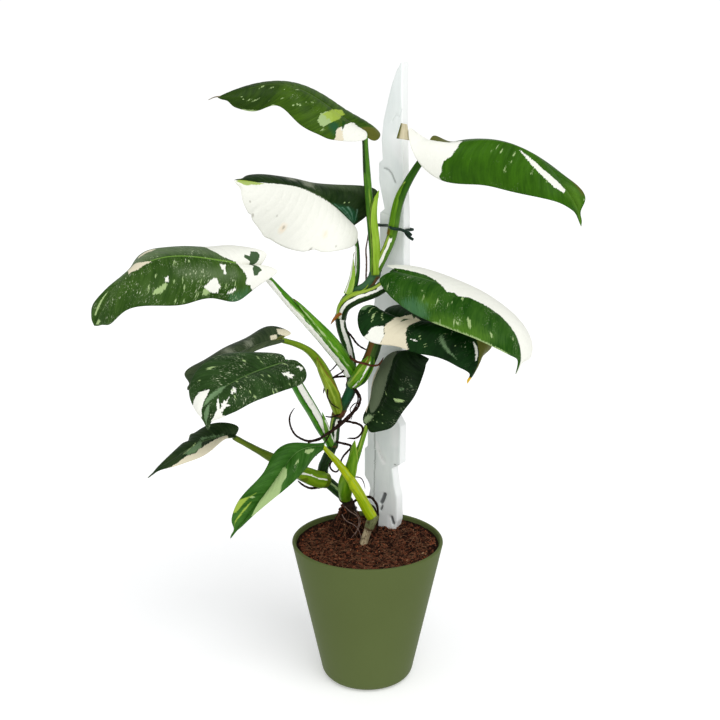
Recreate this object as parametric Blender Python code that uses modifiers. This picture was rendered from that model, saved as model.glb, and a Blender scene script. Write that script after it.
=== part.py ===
"""Potted white princess philodendron: a young climbing plant with eleven leaves in a round pot.

Millimetre values below are turned into metres by MM. The origin is the centre of the pot's
underside, +Z is up, and the plant is seen in the photograph from the -Y side.
"""
import math

import bmesh
import bpy
import numpy as np

MM = 0.001
GAP = 0.3                      # clearance between two pieces that touch

# Pot: a tapered round cover pot
POT_HEIGHT = 125
RIM_RADIUS = 65
BASE_RADIUS = 38.5
POT_WALL = 3
POT_FLOOR = 3.5
BASE_FILLET = 9
RIM_ROUND = 1.2
ROUND_STEPS = 36

# Soil: nearly fills the pot, sinks a little to the middle, and rises in a mound around the main stem
SOIL_TOP = 121
MOUND_CENTRE = (-17, 33)
MOUND_HEIGHT = 22
MOUND_RADIUS = 17
SOIL_SINK = 5

# Support board: an upright board with notched edges, turned about its own upright edge
BOARD_THICKNESS = 12
BOARD_PLACE = (21, 36)
BOARD_YAW = -30
BOARD_FOOT = 98
BOARD_OUTLINE = (
    (7.5, 523), (6.5, 523), (2, 516), (-2, 506), (-5, 496), (-7.5, 486), (-10, 476), (-11.5, 461),
    (-10.5, 445), (-14, 442), (-14, 428), (-12.5, 421), (-8.5, 404), (-13, 401), (-13, 377), (-15, 351),
    (-19, 316), (-24.5, 284), (-24.5, 193), (-27.5, 190), (-27.5, 165), (-21.5, 153), (-24, 143),
    (-16, 127), (-12, BOARD_FOOT), (2, BOARD_FOOT), (4, 118), (6.5, 127), (6, 150), (3.5, 159),
    (1, 176), (9, 181), (9, 212), (11, 355), (11, 380), (7.5, 477))

# Stems: each is a route of points with the tube's radius at its ends and between
MAIN_STEM = ((-14, 31, 104), (-15, 30, 140), (-20, 30, 151), (-39, 26, 174), (-31, 24, 200), (-26, 24, 228),
             (-15, 26, 249), (-14, 26, 270), (-18, 26, 292), (-23, 24, 313), (-14, 24, 333), (-1, 24, 341),
             (8, 26, 356))
MAIN_STEM_RADII = (5.5, 4.6, 4.6, 4.4)
MAIN_STEM_STATIONS = 34
SIDE_CANE = ((-10, 8, 98), (-5, 8, 112), (0, 10, 127), (6, 10, 142))
SIDE_CANE_RADII = (3.4, 3.4)

# Petioles: route from the stem, radii, the tip of the pointed sheath and the place along the route
# where it leaves. Each petiole ends under the base of its own blade.
PETIOLES = {
    "top_left": (((5, 25, 351), (5, 23, 374), (4, 18, 398), (2, 13, 432)),
                 (3.6, 3.4, 2.6, 2.2, 2.0), (9, 14, 421), 0.28),
    "top_right": (((6, 25, 351), (17, 22, 374), (25, 20, 394), (35, 19, 421)),
                  (3.6, 3.6, 3.0, 2.6, 2.2), (29, 12, 432), 0.40),
    "upper_left": (((-13, 24, 334), (-7, 27, 345), (-6, 29, 360), (-8, 29, 378)),
                   (3.4, 2.8, 2.2, 1.9, 1.8), (-13, 23, 375), 0.30),
    "left": (((-14, 26, 268), (-23, 17, 281), (-38, 7, 304), (-60, -9, 334)),
             (3.6, 4.6, 3.8, 2.3, 1.8), (-58, -15, 337), 0.42),
    "mid_left_back": (((-25, 24, 230), (-27, 15, 244), (-29, 12, 260), (-43, 6, 283)),
                      (3.6, 4.4, 3.8, 2.6, 1.8), (-37, 3, 279), 0.38),
    "mid_left_front": (((-31, 24, 201), (-35, 11, 218), (-40, -2, 234), (-50, -25, 258)),
                       (3.6, 4.2, 3.4, 2.7, 2.2), (-41, -17, 253), 0.38),
    "low_left": (((-38, 26, 174), (-47, 13, 175), (-58, 3, 181), (-74, -18, 200)),
                 (3.8, 5.0, 4.2, 2.2, 1.5), (-62, -7, 196), 0.34),
    "low_front": (((6, 10, 141), (1, 9, 152), (-5, 6, 165), (-18, -2, 186)),
                  (2.8, 4.4, 3.8, 2.6, 1.7), (-9, -1, 180), 0.34),
    "right": (((-22, 24, 314), (-19, 16, 324), (-11, 13, 333), (5, 10, 343)),
              (3.6, 3.8, 3.4, 2.6, 2.2), (2, 15, 347), 0.36),
    "right_under": (((-14, 26, 256), (-10, 18, 266), (-5, 14, 278), (3, 10, 295)),
                    (3.6, 4.6, 3.8, 2.6, 2.0), (1, 15, 296), 0.36),
    "centre": (((-19, 28, 152), (-18, 18, 166), (-14, 13, 182), (-7, 9, 204)),
               (3.6, 4.4, 3.4, 2.3, 1.8), (-8, 5, 212), 0.38),
}
PETIOLE_STATIONS = 10
PETIOLE_SEAT = 0.9             # how far before the blade's base the petiole ends
WIDE_SEATS = {"low_front": 2.0, "right": 2.4, "upper_left": 1.7, "centre": 1.3, "mid_left_front": 1.1}
SHEATH_RADII = (1.8, 1.4, 0.5)

# Leaf blades: the midrib, then each margin, as points from the base of the leaf to its tip.
# A margin starts beside the petiole, runs back round the lobe and then forward to the tip.
BLADE_THICKNESS = 0.8
BLADE_ALONG = 14
BLADE_ACROSS = 3
ROOT_HALF_WIDTH = 3
TIP_HALF_WIDTH = 0.8
VEIN_LEAN = 1.35               # how far the side veins fan back into the lobes
BLADES = {
    "top_left": dict(
        midrib=((-2, 12, 467), (-24, 8, 482), (-65, -4, 503), (-94, -14, 499), (-115, -20, 493)),
        left=((7, 11, 466), (-18, -6, 460), (-53, -17, 472), (-85, -11, 485)),
        right=((5, 30, 474), (-16, 40, 483), (-55, 32, 497), (-88, 10, 497)), bulge=(5, 4)),
    "top_right": dict(
        midrib=((48, 18, 453), (89, 8, 461), (125, -2, 453), (155, -14, 423), (167, -20, 395)),
        left=((54, 30, 463), (79, 50, 461), (123, 44, 453), (170, -16, 421)),
        right=((26, 15, 471), (43, 8, 437), (88, 3, 426), (138, -30, 417)), bulge=(1, 6)),
    "upper_left": dict(
        midrib=((-12, 26, 391), (-31, 8, 412), (-56, -12, 425), (-84, -34, 429), (-101, -46, 432)),
        left=((-9, 18, 384), (-25, -13, 375), (-57, -13, 375), (-90, -37, 403)),
        right=((-1, 31, 399), (9, 33, 417), (-23, 28, 425), (-69, 0, 432)), bulge=(5, 2)),
    "left": dict(
        midrib=((-86, -20, 363), (-119, -36, 371), (-158, -52, 374), (-192, -66, 352), (-210, -68, 325)),
        left=((-72, -23, 361), (-86, -34, 349), (-119, -49, 340), (-172, -82, 341), (-195, -78, 328)),
        right=((-79, -21, 374), (-93, -20, 380), (-137, -15, 379), (-180, -32, 371), (-190, -48, 354),
               (-204, -62, 341)), bulge=(4, 3)),
    "mid_left_back": dict(
        midrib=((-70, -5, 302), (-100, -10, 294), (-130, -16, 277), (-147, -19, 262)),
        left=((-68, -9, 299), (-83, -16, 294), (-107, -24, 282), (-134, -22, 267)),
        right=((-64, 0, 306), (-80, 8, 311), (-118, 8, 294), (-150, -12, 275)), bulge=(3, 2)),
    "mid_left_front": dict(
        midrib=((-64, -50, 293), (-85, -74, 291), (-105, -96, 285), (-118, -108, 273), (-117, -110, 256)),
        left=((-48, -54, 287), (-53, -67, 279), (-86, -108, 273), (-106, -112, 264)),
        right=((-66, -45, 296), (-83, -48, 300), (-118, -66, 300), (-133, -91, 283)), bulge=(4, 3)),
    "low_left": dict(
        midrib=((-106, -45, 231), (-127, -60, 232), (-149, -72, 222), (-169, -82, 209)),
        left=((-109, -54, 229), (-115, -66, 229), (-129, -78, 221), (-150, -81, 217)),
        right=((-103, -45, 237), (-115, -44, 242), (-138, -47, 234), (-158, -69, 219)), bulge=(2, 2)),
    "low_front": dict(
        midrib=((-36, -20, 215), (-57, -36, 215), (-70, -50, 202), (-89, -66, 180), (-108, -76, 157)),
        left=((-43, -26, 208), (-50, -38, 202), (-67, -61, 191), (-91, -70, 173)),
        right=((-44, -26, 219), (-63, -36, 222), (-79, -57, 210), (-101, -66, 184)), bulge=(2, 2)),
    "right": dict(
        midrib=((23, 5, 356), (57, -18, 350), (96, -42, 334), (116, -56, 308), (113, -62, 286)),
        left=((20, 19, 355), (39, 23, 353), (77, 3, 346), (126, -30, 313)),
        right=((10, 0, 351), (14, -12, 342), (48, -40, 323), (92, -69, 309)), bulge=(3, 5)),
    "right_under": dict(
        midrib=((12, 2, 320), (50, -14, 318), (81, -28, 309), (87, -34, 291), (79, -36, 272)),
        left=((17, 18, 324), (31, 23, 326), (72, 4, 314), (98, -21, 295)),
        right=((-5, 1, 325), (-7, -9, 308), (31, -20, 296), (63, -31, 293)), bulge=(3, 4)),
    "centre": dict(
        midrib=((-1, 12, 223), (11, 14, 242), (19, 16, 264), (29, 14, 285), (51, 4, 283)),
        left=((-4, 13, 227), (0, 20, 238), (5, 24, 261), (18, 25, 282)),
        right=((2, 8, 218), (19, -3, 228), (39, -6, 254), (47, 5, 271)), bulge=(2, 4)),
}

# Aerial roots: route and radius
AERIAL_ROOTS = (
    (((-14, 25, 255), (-6, 15, 244), (-9, 12, 238), (-16, 8, 231), (-28, 0, 223), (-39, -3, 217),
      (-49, -4, 214), (-60, -5, 219), (-65, -5, 229), (-65, -4, 236), (-61, -2, 242)), 1.1),
    (((-27, 24, 222), (-14, 9, 227), (-4, 6, 222), (-6, 5, 217), (-17, 13, 211)), 0.9),
    (((-29, 24, 206), (-21, 15, 206), (-14, 12, 204), (-20, 10, 197), (-23, 11, 187)), 0.9),
    (((-15, 25, 281), (-9, 7, 280), (2, 6, 277), (9, 8, 277), (13, 12, 282)), 0.9),
    (((-18, 25, 303), (-12, 18, 297), (-7, 17, 292), (0, 18, 287)), 0.8),
    (((-2, 25, 341), (-1, 30, 350), (-1, 32, 366), (0, 31, 385)), 0.7),
    (((-16, 27, 262), (-26, 26, 262), (-35, 20, 258), (-38, 16, 250)), 0.8),
    (((-31, 28, 164), (-44, 18, 162), (-54, 10, 165), (-62, 6, 172)), 1.0),
    (((-15, 29, 144), (-4, 26, 153), (5, 24, 152), (9, 24, 143), (9, 24, 130), (9, 24, 118.5)), 1.0),
)
ROOT_STATIONS = 3              # tube stations to each route point

# Wire tie: round the board and the petiole of the top right leaf, with a short twisted end.
# Its points are (across the board, behind the board's front, height).
TIE_RADIUS = 0.9
TIE_ROUTE = ((22, -9, 382), (18, -8, 384), (14.8, -9.5, 386), (14.2, -13, 387), (9.5, -17.8, 388),
             (4.2, -13.5, 389), (-4, -6, 390), (-13, -2, 390.5), (-14.6, 0, 390.5), (-14.5, 6, 390),
             (-14.5, 12, 389.5), (-13, 13.6, 389.2), (-2, 13.5, 388), (9.5, 13.6, 387),
             (12.2, 12.6, 386.5), (12.3, 6, 386), (12.4, 0, 385), (14, -3.5, 383.5), (18, -5, 380),
             (22, -5.5, 378))
TIE_STATIONS = 58

POT_GREEN = (0.106, 0.137, 0.050)
SOIL_BROWN = (0.036, 0.018, 0.010)
BOARD_WHITE = (0.72, 0.74, 0.77)
LEAF_GREEN = (0.035, 0.105, 0.020)
STALK_GREEN = (0.20, 0.34, 0.07)
STEM_GREEN = (0.10, 0.16, 0.05)
CANE_TAN = (0.30, 0.24, 0.15)
ROOT_BROWN = (0.030, 0.018, 0.012)
TIE_GREEN = (0.012, 0.035, 0.022)


def clear_scene():
    for thing in list(bpy.data.objects):
        bpy.data.objects.remove(thing, do_unlink=True)


def collection(name):
    group = bpy.data.collections.new(name)
    bpy.context.scene.collection.children.link(group)
    return group


def material(name, colour, roughness):
    made = bpy.data.materials.new(name)
    made.use_nodes = True
    shader = made.node_tree.nodes["Principled BSDF"]
    shader.inputs["Base Color"].default_value = (*colour, 1)
    shader.inputs["Roughness"].default_value = roughness
    shader.inputs["Metallic"].default_value = 0
    return made


def metres(points):
    return [tuple(value * MM for value in point) for point in points]


def place_object(name, data, group, look=None):
    thing = bpy.data.objects.new(name, data)
    group.objects.link(thing)
    if look:
        data.materials.append(look)
    return thing


def natural_spline(points, count):
    """Evenly spaced parameters along a natural cubic spline through points, knots by chord length."""
    points = np.array(points, float)
    last = len(points) - 1
    knots = np.concatenate([[0], np.cumsum(np.linalg.norm(np.diff(points, axis=0), axis=1))])
    step = np.diff(knots)
    system = np.eye(last + 1)
    bend = np.zeros_like(points)
    slope = np.diff(points, axis=0) / step[:, None]
    for i in range(1, last):
        system[i, i - 1:i + 2] = step[i - 1], 2 * (step[i - 1] + step[i]), step[i]
        bend[i] = 6 * (slope[i] - slope[i - 1])
    second = np.linalg.solve(system, bend)
    at = np.linspace(0, knots[-1], count)
    i = np.clip(np.searchsorted(knots, at, side="right") - 1, 0, last - 1)
    width = step[i][:, None]
    before = (at - knots[i])[:, None]
    after = width - before
    return ((second[i] * after**3 + second[i + 1] * before**3) / (6 * width)
            + (points[i + 1] / width - second[i + 1] * width / 6) * before
            + (points[i] / width - second[i] * width / 6) * after)


def tube(name, route, radii, group, look=None, stations=None, grow=0.0, sides=8):
    """A round tube along a smooth route, as one welded closed mesh; grow enlarges it for use as a cutter."""
    line = natural_spline(route, stations or len(route))
    width = np.interp(np.linspace(0, 1, len(line)), np.linspace(0, 1, len(radii)), radii) + grow
    line[0] -= grow * unit(line[1] - line[0])
    line[-1] += grow * unit(line[-1] - line[-2])
    curve = bpy.data.curves.new(name, "CURVE")
    curve.dimensions = "3D"
    curve.bevel_depth = MM
    curve.bevel_resolution = (sides - 4) // 2
    curve.use_fill_caps = True
    run = curve.splines.new("POLY")
    run.points.add(len(line) - 1)
    for point, place, radius in zip(run.points, line, width):
        point.co = (*(place * MM), 1)
        point.radius = radius
    guide = place_object(name + "_curve", curve, group)
    graph = bpy.context.evaluated_depsgraph_get()
    mesh = bpy.data.meshes.new_from_object(guide.evaluated_get(graph))
    mesh.name = name
    bpy.data.objects.remove(guide, do_unlink=True)
    form = bmesh.new()
    form.from_mesh(mesh)
    bmesh.ops.remove_doubles(form, verts=form.verts, dist=0.00002)
    bmesh.ops.recalc_face_normals(form, faces=form.faces)
    form.to_mesh(mesh)
    form.free()
    mesh.shade_smooth()
    mesh.materials.clear()
    return place_object(name, mesh, group, look)


def cutter(thing, group):
    for owner in list(thing.users_collection):
        owner.objects.unlink(thing)
    group.objects.link(thing)
    thing.hide_render = True
    thing.display_type = "WIRE"
    return thing


def boolean(thing, other, operation):
    step = thing.modifiers.new(operation.lower() + "_" + other.name, "BOOLEAN")
    step.operation = operation
    step.solver = "EXACT"
    step.object = other


def turned(name, profile, group, look):
    """A body of revolution: the profile's points (radius, height) run up the inside and down the outside."""
    mesh = bpy.data.meshes.new(name)
    edges = [(i, i + 1) for i in range(len(profile) - 1)]
    mesh.from_pydata(metres([(radius, 0, height) for radius, height in profile]), edges, [])
    body = place_object(name, mesh, group, look)
    screw = body.modifiers.new("turn", "SCREW")
    screw.axis = "Z"
    screw.steps = screw.render_steps = ROUND_STEPS
    screw.use_merge_vertices = True
    screw.merge_threshold = 0.0001
    screw.use_smooth_shade = True
    return body


def arc(centre, radius, start, end, steps):
    """Points of a round stretch about centre, from start to end in degrees."""
    angles = [math.radians(start + (end - start) * i / steps) for i in range(steps + 1)]
    return [(centre[0] + radius * math.cos(a), centre[1] + radius * math.sin(a)) for a in angles]


def wall_radius(height):
    """Outer radius of the pot at a height."""
    return BASE_RADIUS + (RIM_RADIUS - BASE_RADIUS) * height / POT_HEIGHT


def pot(group):
    taper = math.degrees(math.atan2(RIM_RADIUS - BASE_RADIUS, POT_HEIGHT))
    inner_floor = wall_radius(POT_FLOOR + BASE_FILLET) - POT_WALL
    fillet_centre = (wall_radius(BASE_FILLET) - BASE_FILLET, BASE_FILLET)
    rim_centre = (RIM_RADIUS - POT_WALL / 2, POT_HEIGHT - RIM_ROUND)
    profile = [(0, POT_FLOOR), (inner_floor - BASE_FILLET, POT_FLOOR), (inner_floor - 3, POT_FLOOR + 2.5),
               (inner_floor, POT_FLOOR + BASE_FILLET),
               (RIM_RADIUS - POT_WALL, POT_HEIGHT - RIM_ROUND)]
    profile += arc(rim_centre, RIM_ROUND, 150, 30, 3)
    profile += [(RIM_RADIUS, POT_HEIGHT - RIM_ROUND - 0.4)]
    profile += arc(fillet_centre, BASE_FILLET, -taper, -90, 4)
    profile += [(0, 0)]
    return turned("pot", profile, group, material("pot_green", POT_GREEN, 0.42))


def soil_height(x, y, radius):
    """Height of the soil's top: a shallow dish with a mound where the main stem stands."""
    away = (x - MOUND_CENTRE[0])**2 + (y - MOUND_CENTRE[1])**2
    mound = MOUND_HEIGHT * math.exp(-away / (MOUND_RADIUS**2 / 2))
    edge = min(1.0, (58 - radius) / 14) if radius < 58 else 0.0
    return SOIL_TOP - SOIL_SINK * (1 - (radius / 60)**2) + mound * edge


def soil(group, cutters):
    side_gap = POT_WALL + GAP
    top_radius = wall_radius(SOIL_TOP) - side_gap
    low = POT_FLOOR + BASE_FILLET
    inner_floor = wall_radius(low) - side_gap
    rings = [(top_radius * i / 9, SOIL_TOP) for i in range(10)]
    profile = rings + [(inner_floor, low), (inner_floor - 3, POT_FLOOR + 2.5 + GAP),
                       (inner_floor - BASE_FILLET, POT_FLOOR + GAP), (0, POT_FLOOR + GAP)]
    body = turned("soil", profile, group, material("soil_brown", SOIL_BROWN, 0.95))
    graph = bpy.context.evaluated_depsgraph_get()
    mesh = bpy.data.meshes.new_from_object(body.evaluated_get(graph))
    for vertex in mesh.vertices:
        x, y, z = (value / MM for value in vertex.co)
        if z > SOIL_TOP - 1:
            vertex.co.z = soil_height(x, y, math.hypot(x, y)) * MM
    bpy.data.objects.remove(body, do_unlink=True)
    body = place_object("soil", mesh, group)
    for hole in cutters:
        boolean(body, hole, "DIFFERENCE")
    return body


def by_board(across, behind, height):
    """World place of a point given by its distances across and behind the board's front."""
    yaw = math.radians(BOARD_YAW)
    return (BOARD_PLACE[0] + across * math.cos(yaw) - behind * math.sin(yaw),
            BOARD_PLACE[1] + across * math.sin(yaw) + behind * math.cos(yaw), height)


def board(name, group, look=None, grow=0.0):
    outline = bpy.data.curves.new(name, "CURVE")
    outline.dimensions = "2D"
    outline.fill_mode = "BOTH"
    outline.extrude = (BOARD_THICKNESS / 2 + grow) * MM
    edge = outline.splines.new("POLY")
    edge.points.add(len(BOARD_OUTLINE) - 1)
    edge.use_cyclic_u = True
    middle = sum(x for x, z in BOARD_OUTLINE) / len(BOARD_OUTLINE)
    for point, (x, z) in zip(edge.points, BOARD_OUTLINE):
        shift = math.copysign(grow, x - middle)
        point.co = ((x + shift) * MM, (z - (grow if z == BOARD_FOOT else 0)) * MM, 0, 1)
    guide = place_object(name + "_curve", outline, group)
    graph = bpy.context.evaluated_depsgraph_get()
    mesh = bpy.data.meshes.new_from_object(guide.evaluated_get(graph))
    mesh.name = name
    bpy.data.objects.remove(guide, do_unlink=True)
    form = bmesh.new()
    form.from_mesh(mesh)
    bmesh.ops.remove_doubles(form, verts=form.verts, dist=0.00002)
    bmesh.ops.recalc_face_normals(form, faces=form.faces)
    form.to_mesh(mesh)
    form.free()
    mesh.materials.clear()
    body = place_object(name, mesh, group, look)
    body.rotation_euler = (math.radians(90), 0, math.radians(BOARD_YAW))
    body.location = metres([by_board(0, BOARD_THICKNESS / 2, 0)])[0]
    return body


def unit(vectors):
    return vectors / np.maximum(np.linalg.norm(vectors, axis=-1, keepdims=True), 1e-9)


def blade_half(midrib, tangent, margin, side, bulge, steps):
    """Rows of points from the midrib (s = 0) to one margin (s = 1).

    P(s) = M + s (E - M) + 4 s (1 - s) bulge n, with M on the midrib, E on the margin and n the
    blade's upper normal there, so the half swells between its two edges.
    """
    aside = margin[0] - midrib[0]
    aside = aside - tangent[0] * (aside @ tangent[0])
    start = midrib[0] + ROOT_HALF_WIDTH * unit(aside)
    end = midrib[-1] + TIP_HALF_WIDTH * unit(margin[-1] - midrib[-1])
    edge = natural_spline([start, *margin, end], len(midrib))
    up = unit(side * np.cross(edge - midrib, tangent))
    s = np.arange(steps + 1)[:, None, None] / steps
    along = np.linspace(-1, 1, len(midrib))
    swell = bulge * (1 - along**4)[None, :, None]
    return midrib + s * (edge - midrib) + 4 * s * (1 - s) * swell * up


def blade_surface(shape):
    """Grid of points, right margin to left margin by base to tip."""
    dense = natural_spline(shape["midrib"], 200)
    travel = np.concatenate([[0], np.cumsum(np.linalg.norm(np.diff(dense, axis=0), axis=1))])
    along = np.linspace(0, 1, BLADE_ALONG + 1)**VEIN_LEAN * travel[-1]
    slope = unit(np.gradient(dense, axis=0))
    midrib = np.stack([np.interp(along, travel, dense[:, axis]) for axis in range(3)], -1)
    tangent = np.stack([np.interp(along, travel, slope[:, axis]) for axis in range(3)], -1)
    halves = [blade_half(midrib, tangent, np.array(shape[key], float), side, bulge, BLADE_ACROSS)
              for key, side, bulge in (("right", 1, shape["bulge"][1]), ("left", -1, shape["bulge"][0]))]
    return np.concatenate([halves[0][::-1], halves[1][1:]])


def blade(name, shape, group, look):
    points = blade_surface(shape) * MM
    rows, columns = points.shape[:2]
    form = bmesh.new()
    bmesh.ops.create_grid(form, x_segments=columns - 1, y_segments=rows - 1, size=0.5)
    for vertex in form.verts:
        column = round((vertex.co.x + 0.5) * (columns - 1))
        row = round((vertex.co.y + 0.5) * (rows - 1))
        vertex.co = points[row, column]
    bmesh.ops.triangulate(form, faces=form.faces)
    mesh = bpy.data.meshes.new(name)
    form.to_mesh(mesh)
    form.free()
    mesh.shade_smooth()
    body = place_object(name, mesh, group, look)
    shell = body.modifiers.new("thickness", "SOLIDIFY")
    shell.thickness = BLADE_THICKNESS * MM
    shell.offset = 0
    return body


def petiole_route(place):
    """The petiole's points, ending just short of the base of its blade."""
    route = np.array(PETIOLES[place][0], float)
    base = np.array(BLADES[place]["midrib"][0], float)
    return [*route, base - WIDE_SEATS.get(place, PETIOLE_SEAT) * unit(base - route[-1])]


def petiole(place, group, look, cutters):
    radii, sheath_tip, leaving = PETIOLES[place][1:]
    route = petiole_route(place)
    body = tube("petiole_" + place, route, radii, group, look, PETIOLE_STATIONS)
    line = natural_spline(route, 101)
    first = line[int(leaving * 100)]
    before = line[int(leaving * 100) - 12]
    aim = np.array(sheath_tip, float)
    half_way = (first + aim) / 2 + (first - before) * 0.15
    sheath = cutter(tube("sheath_" + place, (before, first, half_way, aim), SHEATH_RADII, group,
                         stations=6, sides=6), cutters)
    boolean(body, sheath, "UNION")
    return body


def build():
    clear_scene()
    parts = collection("potted_philodendron")
    cutters = collection("cutters")

    pot(parts)
    board("support_board", parts, material("board_white", BOARD_WHITE, 0.6))
    tube("main_stem", MAIN_STEM, MAIN_STEM_RADII, parts, material("stem_green", STEM_GREEN, 0.5),
         MAIN_STEM_STATIONS)
    tube("side_cane", SIDE_CANE, SIDE_CANE_RADII, parts, material("cane_tan", CANE_TAN, 0.7), 6)
    stem_cutter = cutter(tube("stem_clearance", MAIN_STEM, MAIN_STEM_RADII, parts, None,
                              MAIN_STEM_STATIONS, GAP), cutters)
    cane_cutter = cutter(tube("cane_clearance", SIDE_CANE, SIDE_CANE_RADII, parts, None, 6, GAP), cutters)
    board_cutter = cutter(board("board_clearance", parts, None, GAP), cutters)
    soil(parts, (stem_cutter, cane_cutter, board_cutter))

    stalk_look = material("stalk_green", STALK_GREEN, 0.45)
    leaf_look = material("leaf_green", LEAF_GREEN, 0.35)
    for place in PETIOLES:
        stalk = petiole(place, parts, stalk_look, cutters)
        boolean(stalk, cane_cutter if place == "low_front" else stem_cutter, "DIFFERENCE")
        if place == "top_right":
            neighbour = cutter(tube("neighbour_clearance", petiole_route("top_left"), PETIOLES["top_left"][1],
                                    parts, None, PETIOLE_STATIONS, GAP), cutters)
            boolean(stalk, neighbour, "DIFFERENCE")
    for place, shape in BLADES.items():
        blade("blade_" + place, shape, parts, leaf_look)

    root_look = material("root_brown", ROOT_BROWN, 0.8)
    for number, (route, radius) in enumerate(AERIAL_ROOTS, 1):
        root = tube(f"aerial_root_{number}", route, (radius, radius, 0.6 * radius), parts, root_look,
                    ROOT_STATIONS * len(route), sides=6)
        boolean(root, stem_cutter, "DIFFERENCE")
    tie_route = [by_board(*point) for point in TIE_ROUTE]
    tube("wire_tie", tie_route, (TIE_RADIUS, TIE_RADIUS), parts, material("tie_green", TIE_GREEN, 0.5),
         TIE_STATIONS, sides=6)


build()
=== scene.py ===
import math

import bmesh
import bpy
import numpy as np
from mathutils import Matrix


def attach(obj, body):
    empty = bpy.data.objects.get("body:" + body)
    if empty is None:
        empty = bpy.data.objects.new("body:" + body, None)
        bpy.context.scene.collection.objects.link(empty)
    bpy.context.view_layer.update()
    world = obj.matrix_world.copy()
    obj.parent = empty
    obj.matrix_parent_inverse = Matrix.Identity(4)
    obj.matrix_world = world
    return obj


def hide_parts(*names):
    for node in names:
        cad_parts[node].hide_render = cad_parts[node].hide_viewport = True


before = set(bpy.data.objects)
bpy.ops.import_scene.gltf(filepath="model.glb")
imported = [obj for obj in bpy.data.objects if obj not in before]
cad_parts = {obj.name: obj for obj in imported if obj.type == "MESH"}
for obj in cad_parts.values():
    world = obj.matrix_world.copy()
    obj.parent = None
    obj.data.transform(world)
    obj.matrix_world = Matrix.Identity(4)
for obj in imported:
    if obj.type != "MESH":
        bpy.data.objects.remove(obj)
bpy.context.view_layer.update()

MM = 0.001

# Pot, soil and board sizes, close to the solids; the soil's mound is higher here
POT_HEIGHT = 125
RIM_RADIUS = 65
BASE_RADIUS = 38.5
POT_WALL = 3
POT_FLOOR = 3.5
BASE_FILLET = 9
SOIL_TOP = 121
SOIL_SINK = 5
MOUND_CENTRE = (-17, 33)
MOUND_HEIGHT = 29
MOUND_RADIUS = 17
MOUND_EDGE = 58                # the mound has levelled off this far from the pot's axis
MOUND_FADE = 14
DISH_RADIUS = 60
SOIL_GAP = 0.3
BOARD_THICKNESS = 12
BOARD_PLACE = (21, 36)
BOARD_YAW = -30
BOARD_FOOT = 98
BOARD_TOP = 523
# The board's left and right edges from its top to its foot: across, height
BOARD_LEFT = ((6.5, 523), (2, 516), (-2, 506), (-5, 496), (-7.5, 486), (-10, 476), (-11.5, 461),
              (-10.5, 445), (-14, 442), (-14, 428), (-12.5, 421), (-8.5, 404), (-13, 401), (-13, 377),
              (-15, 351), (-19, 316), (-24.5, 284), (-24.5, 193), (-27.5, 190), (-27.5, 165),
              (-21.5, 153), (-24, 143), (-16, 127), (-12, BOARD_FOOT))
BOARD_RIGHT = ((7.5, 523), (7.5, 477), (11, 380), (11, 355), (10, 280), (3, 268), (2.5, 226), (9, 216),
               (9, 181), (1, 176), (3.5, 159), (6, 150), (6.5, 127), (4, 118), (2, BOARD_FOOT))
# Marks on the board's front: kind, points (across, height), half-width and depth; the front sinks along each.
# The grooves are dark inside with painted shade, and the other marks are painted highlights, whiter than the
# paint round them.
BOARD_MARKS = (
    ("shaded_groove", ((-17, 215), (-17, 176), (-18, 143)), 0.55, 1.1),
    ("painted_highlight", ((-15.3, 197), (-11.5, 187.5), (-7.3, 180)), 1.5, 0.5),
    ("shaded_groove", ((-13.2, 191), (-9.5, 183)), 0.4, 0.6),
    ("shaded_groove", ((-6.5, 150), (-8, 145.5), (-9.6, 142)), 1.5, 2.2),
    ("shaded_groove", ((-8.9, 138.8), (-10.3, 135)), 0.7, 2.2),
    ("shaded_groove", ((0.6, 129.6), (2.6, 124.2)), 1.1, 2.2),
    ("painted_highlight", ((-1.5, 130), (-1, 120)), 1.4, 0.3),
    ("shaded_groove", ((-25, 161), (-22.8, 156)), 0.7, 1.4),
    ("shaded_groove", ((3, 180), (6.5, 177.7)), 0.6, 1.2),
    ("shaded_groove", ((-8.7, 437.9), (-5, 436.8), (-1.5, 433), (1.8, 426)), 0.8, 1.1),
    ("painted_highlight", ((1, 462), (4, 452), (9, 446)), 4.0, 0.2),
    ("shaded_groove", ((-1.5, 476), (2, 481), (5, 479), (7, 485)), 0.6, 0.5),
    ("shaded_groove", ((-20, 283), (-2, 279), (8, 281)), 0.6, 0.35),
    ("shaded_groove", ((-12, 401), (-3, 399), (9, 401)), 0.6, 0.4),
    ("shaded_groove", ((-2, 395), (9, 394)), 0.6, 0.4),
    ("painted_highlight", ((-6, 380), (-8, 350)), 3.0, 0.2),
    ("painted_highlight", ((2, 240), (4, 200)), 3.5, 0.2))

# Main stem and side cane: route points and radii, close to the solids
MAIN_STEM = ((-14, 31, 104), (-15, 30, 140), (-20, 30, 151), (-39, 26, 174), (-31, 24, 200), (-26, 24, 228),
             (-15, 26, 249), (-14, 26, 270), (-18, 26, 292), (-23, 24, 313), (-14, 24, 333), (-1, 24, 341),
             (8, 26, 356))
MAIN_STEM_RADII = (5.5, 4.6, 4.6, 4.4)
STEM_RINGS = 420
STEM_SIDES = 30
NODE_SWELL = 0.13              # share of the radius that a node adds
NODE_REACH = 2.2
SCAR_DEPTH = 0.05              # share of the radius that the ring scar beside a node takes away
SCAR_AWAY = 3.4
SCAR_WIDTH = 0.9
KNOT_HEIGHT = 232              # of a swollen corky knot
KNOT_SWELL = 0.22
KNOT_REACH = 5
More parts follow.
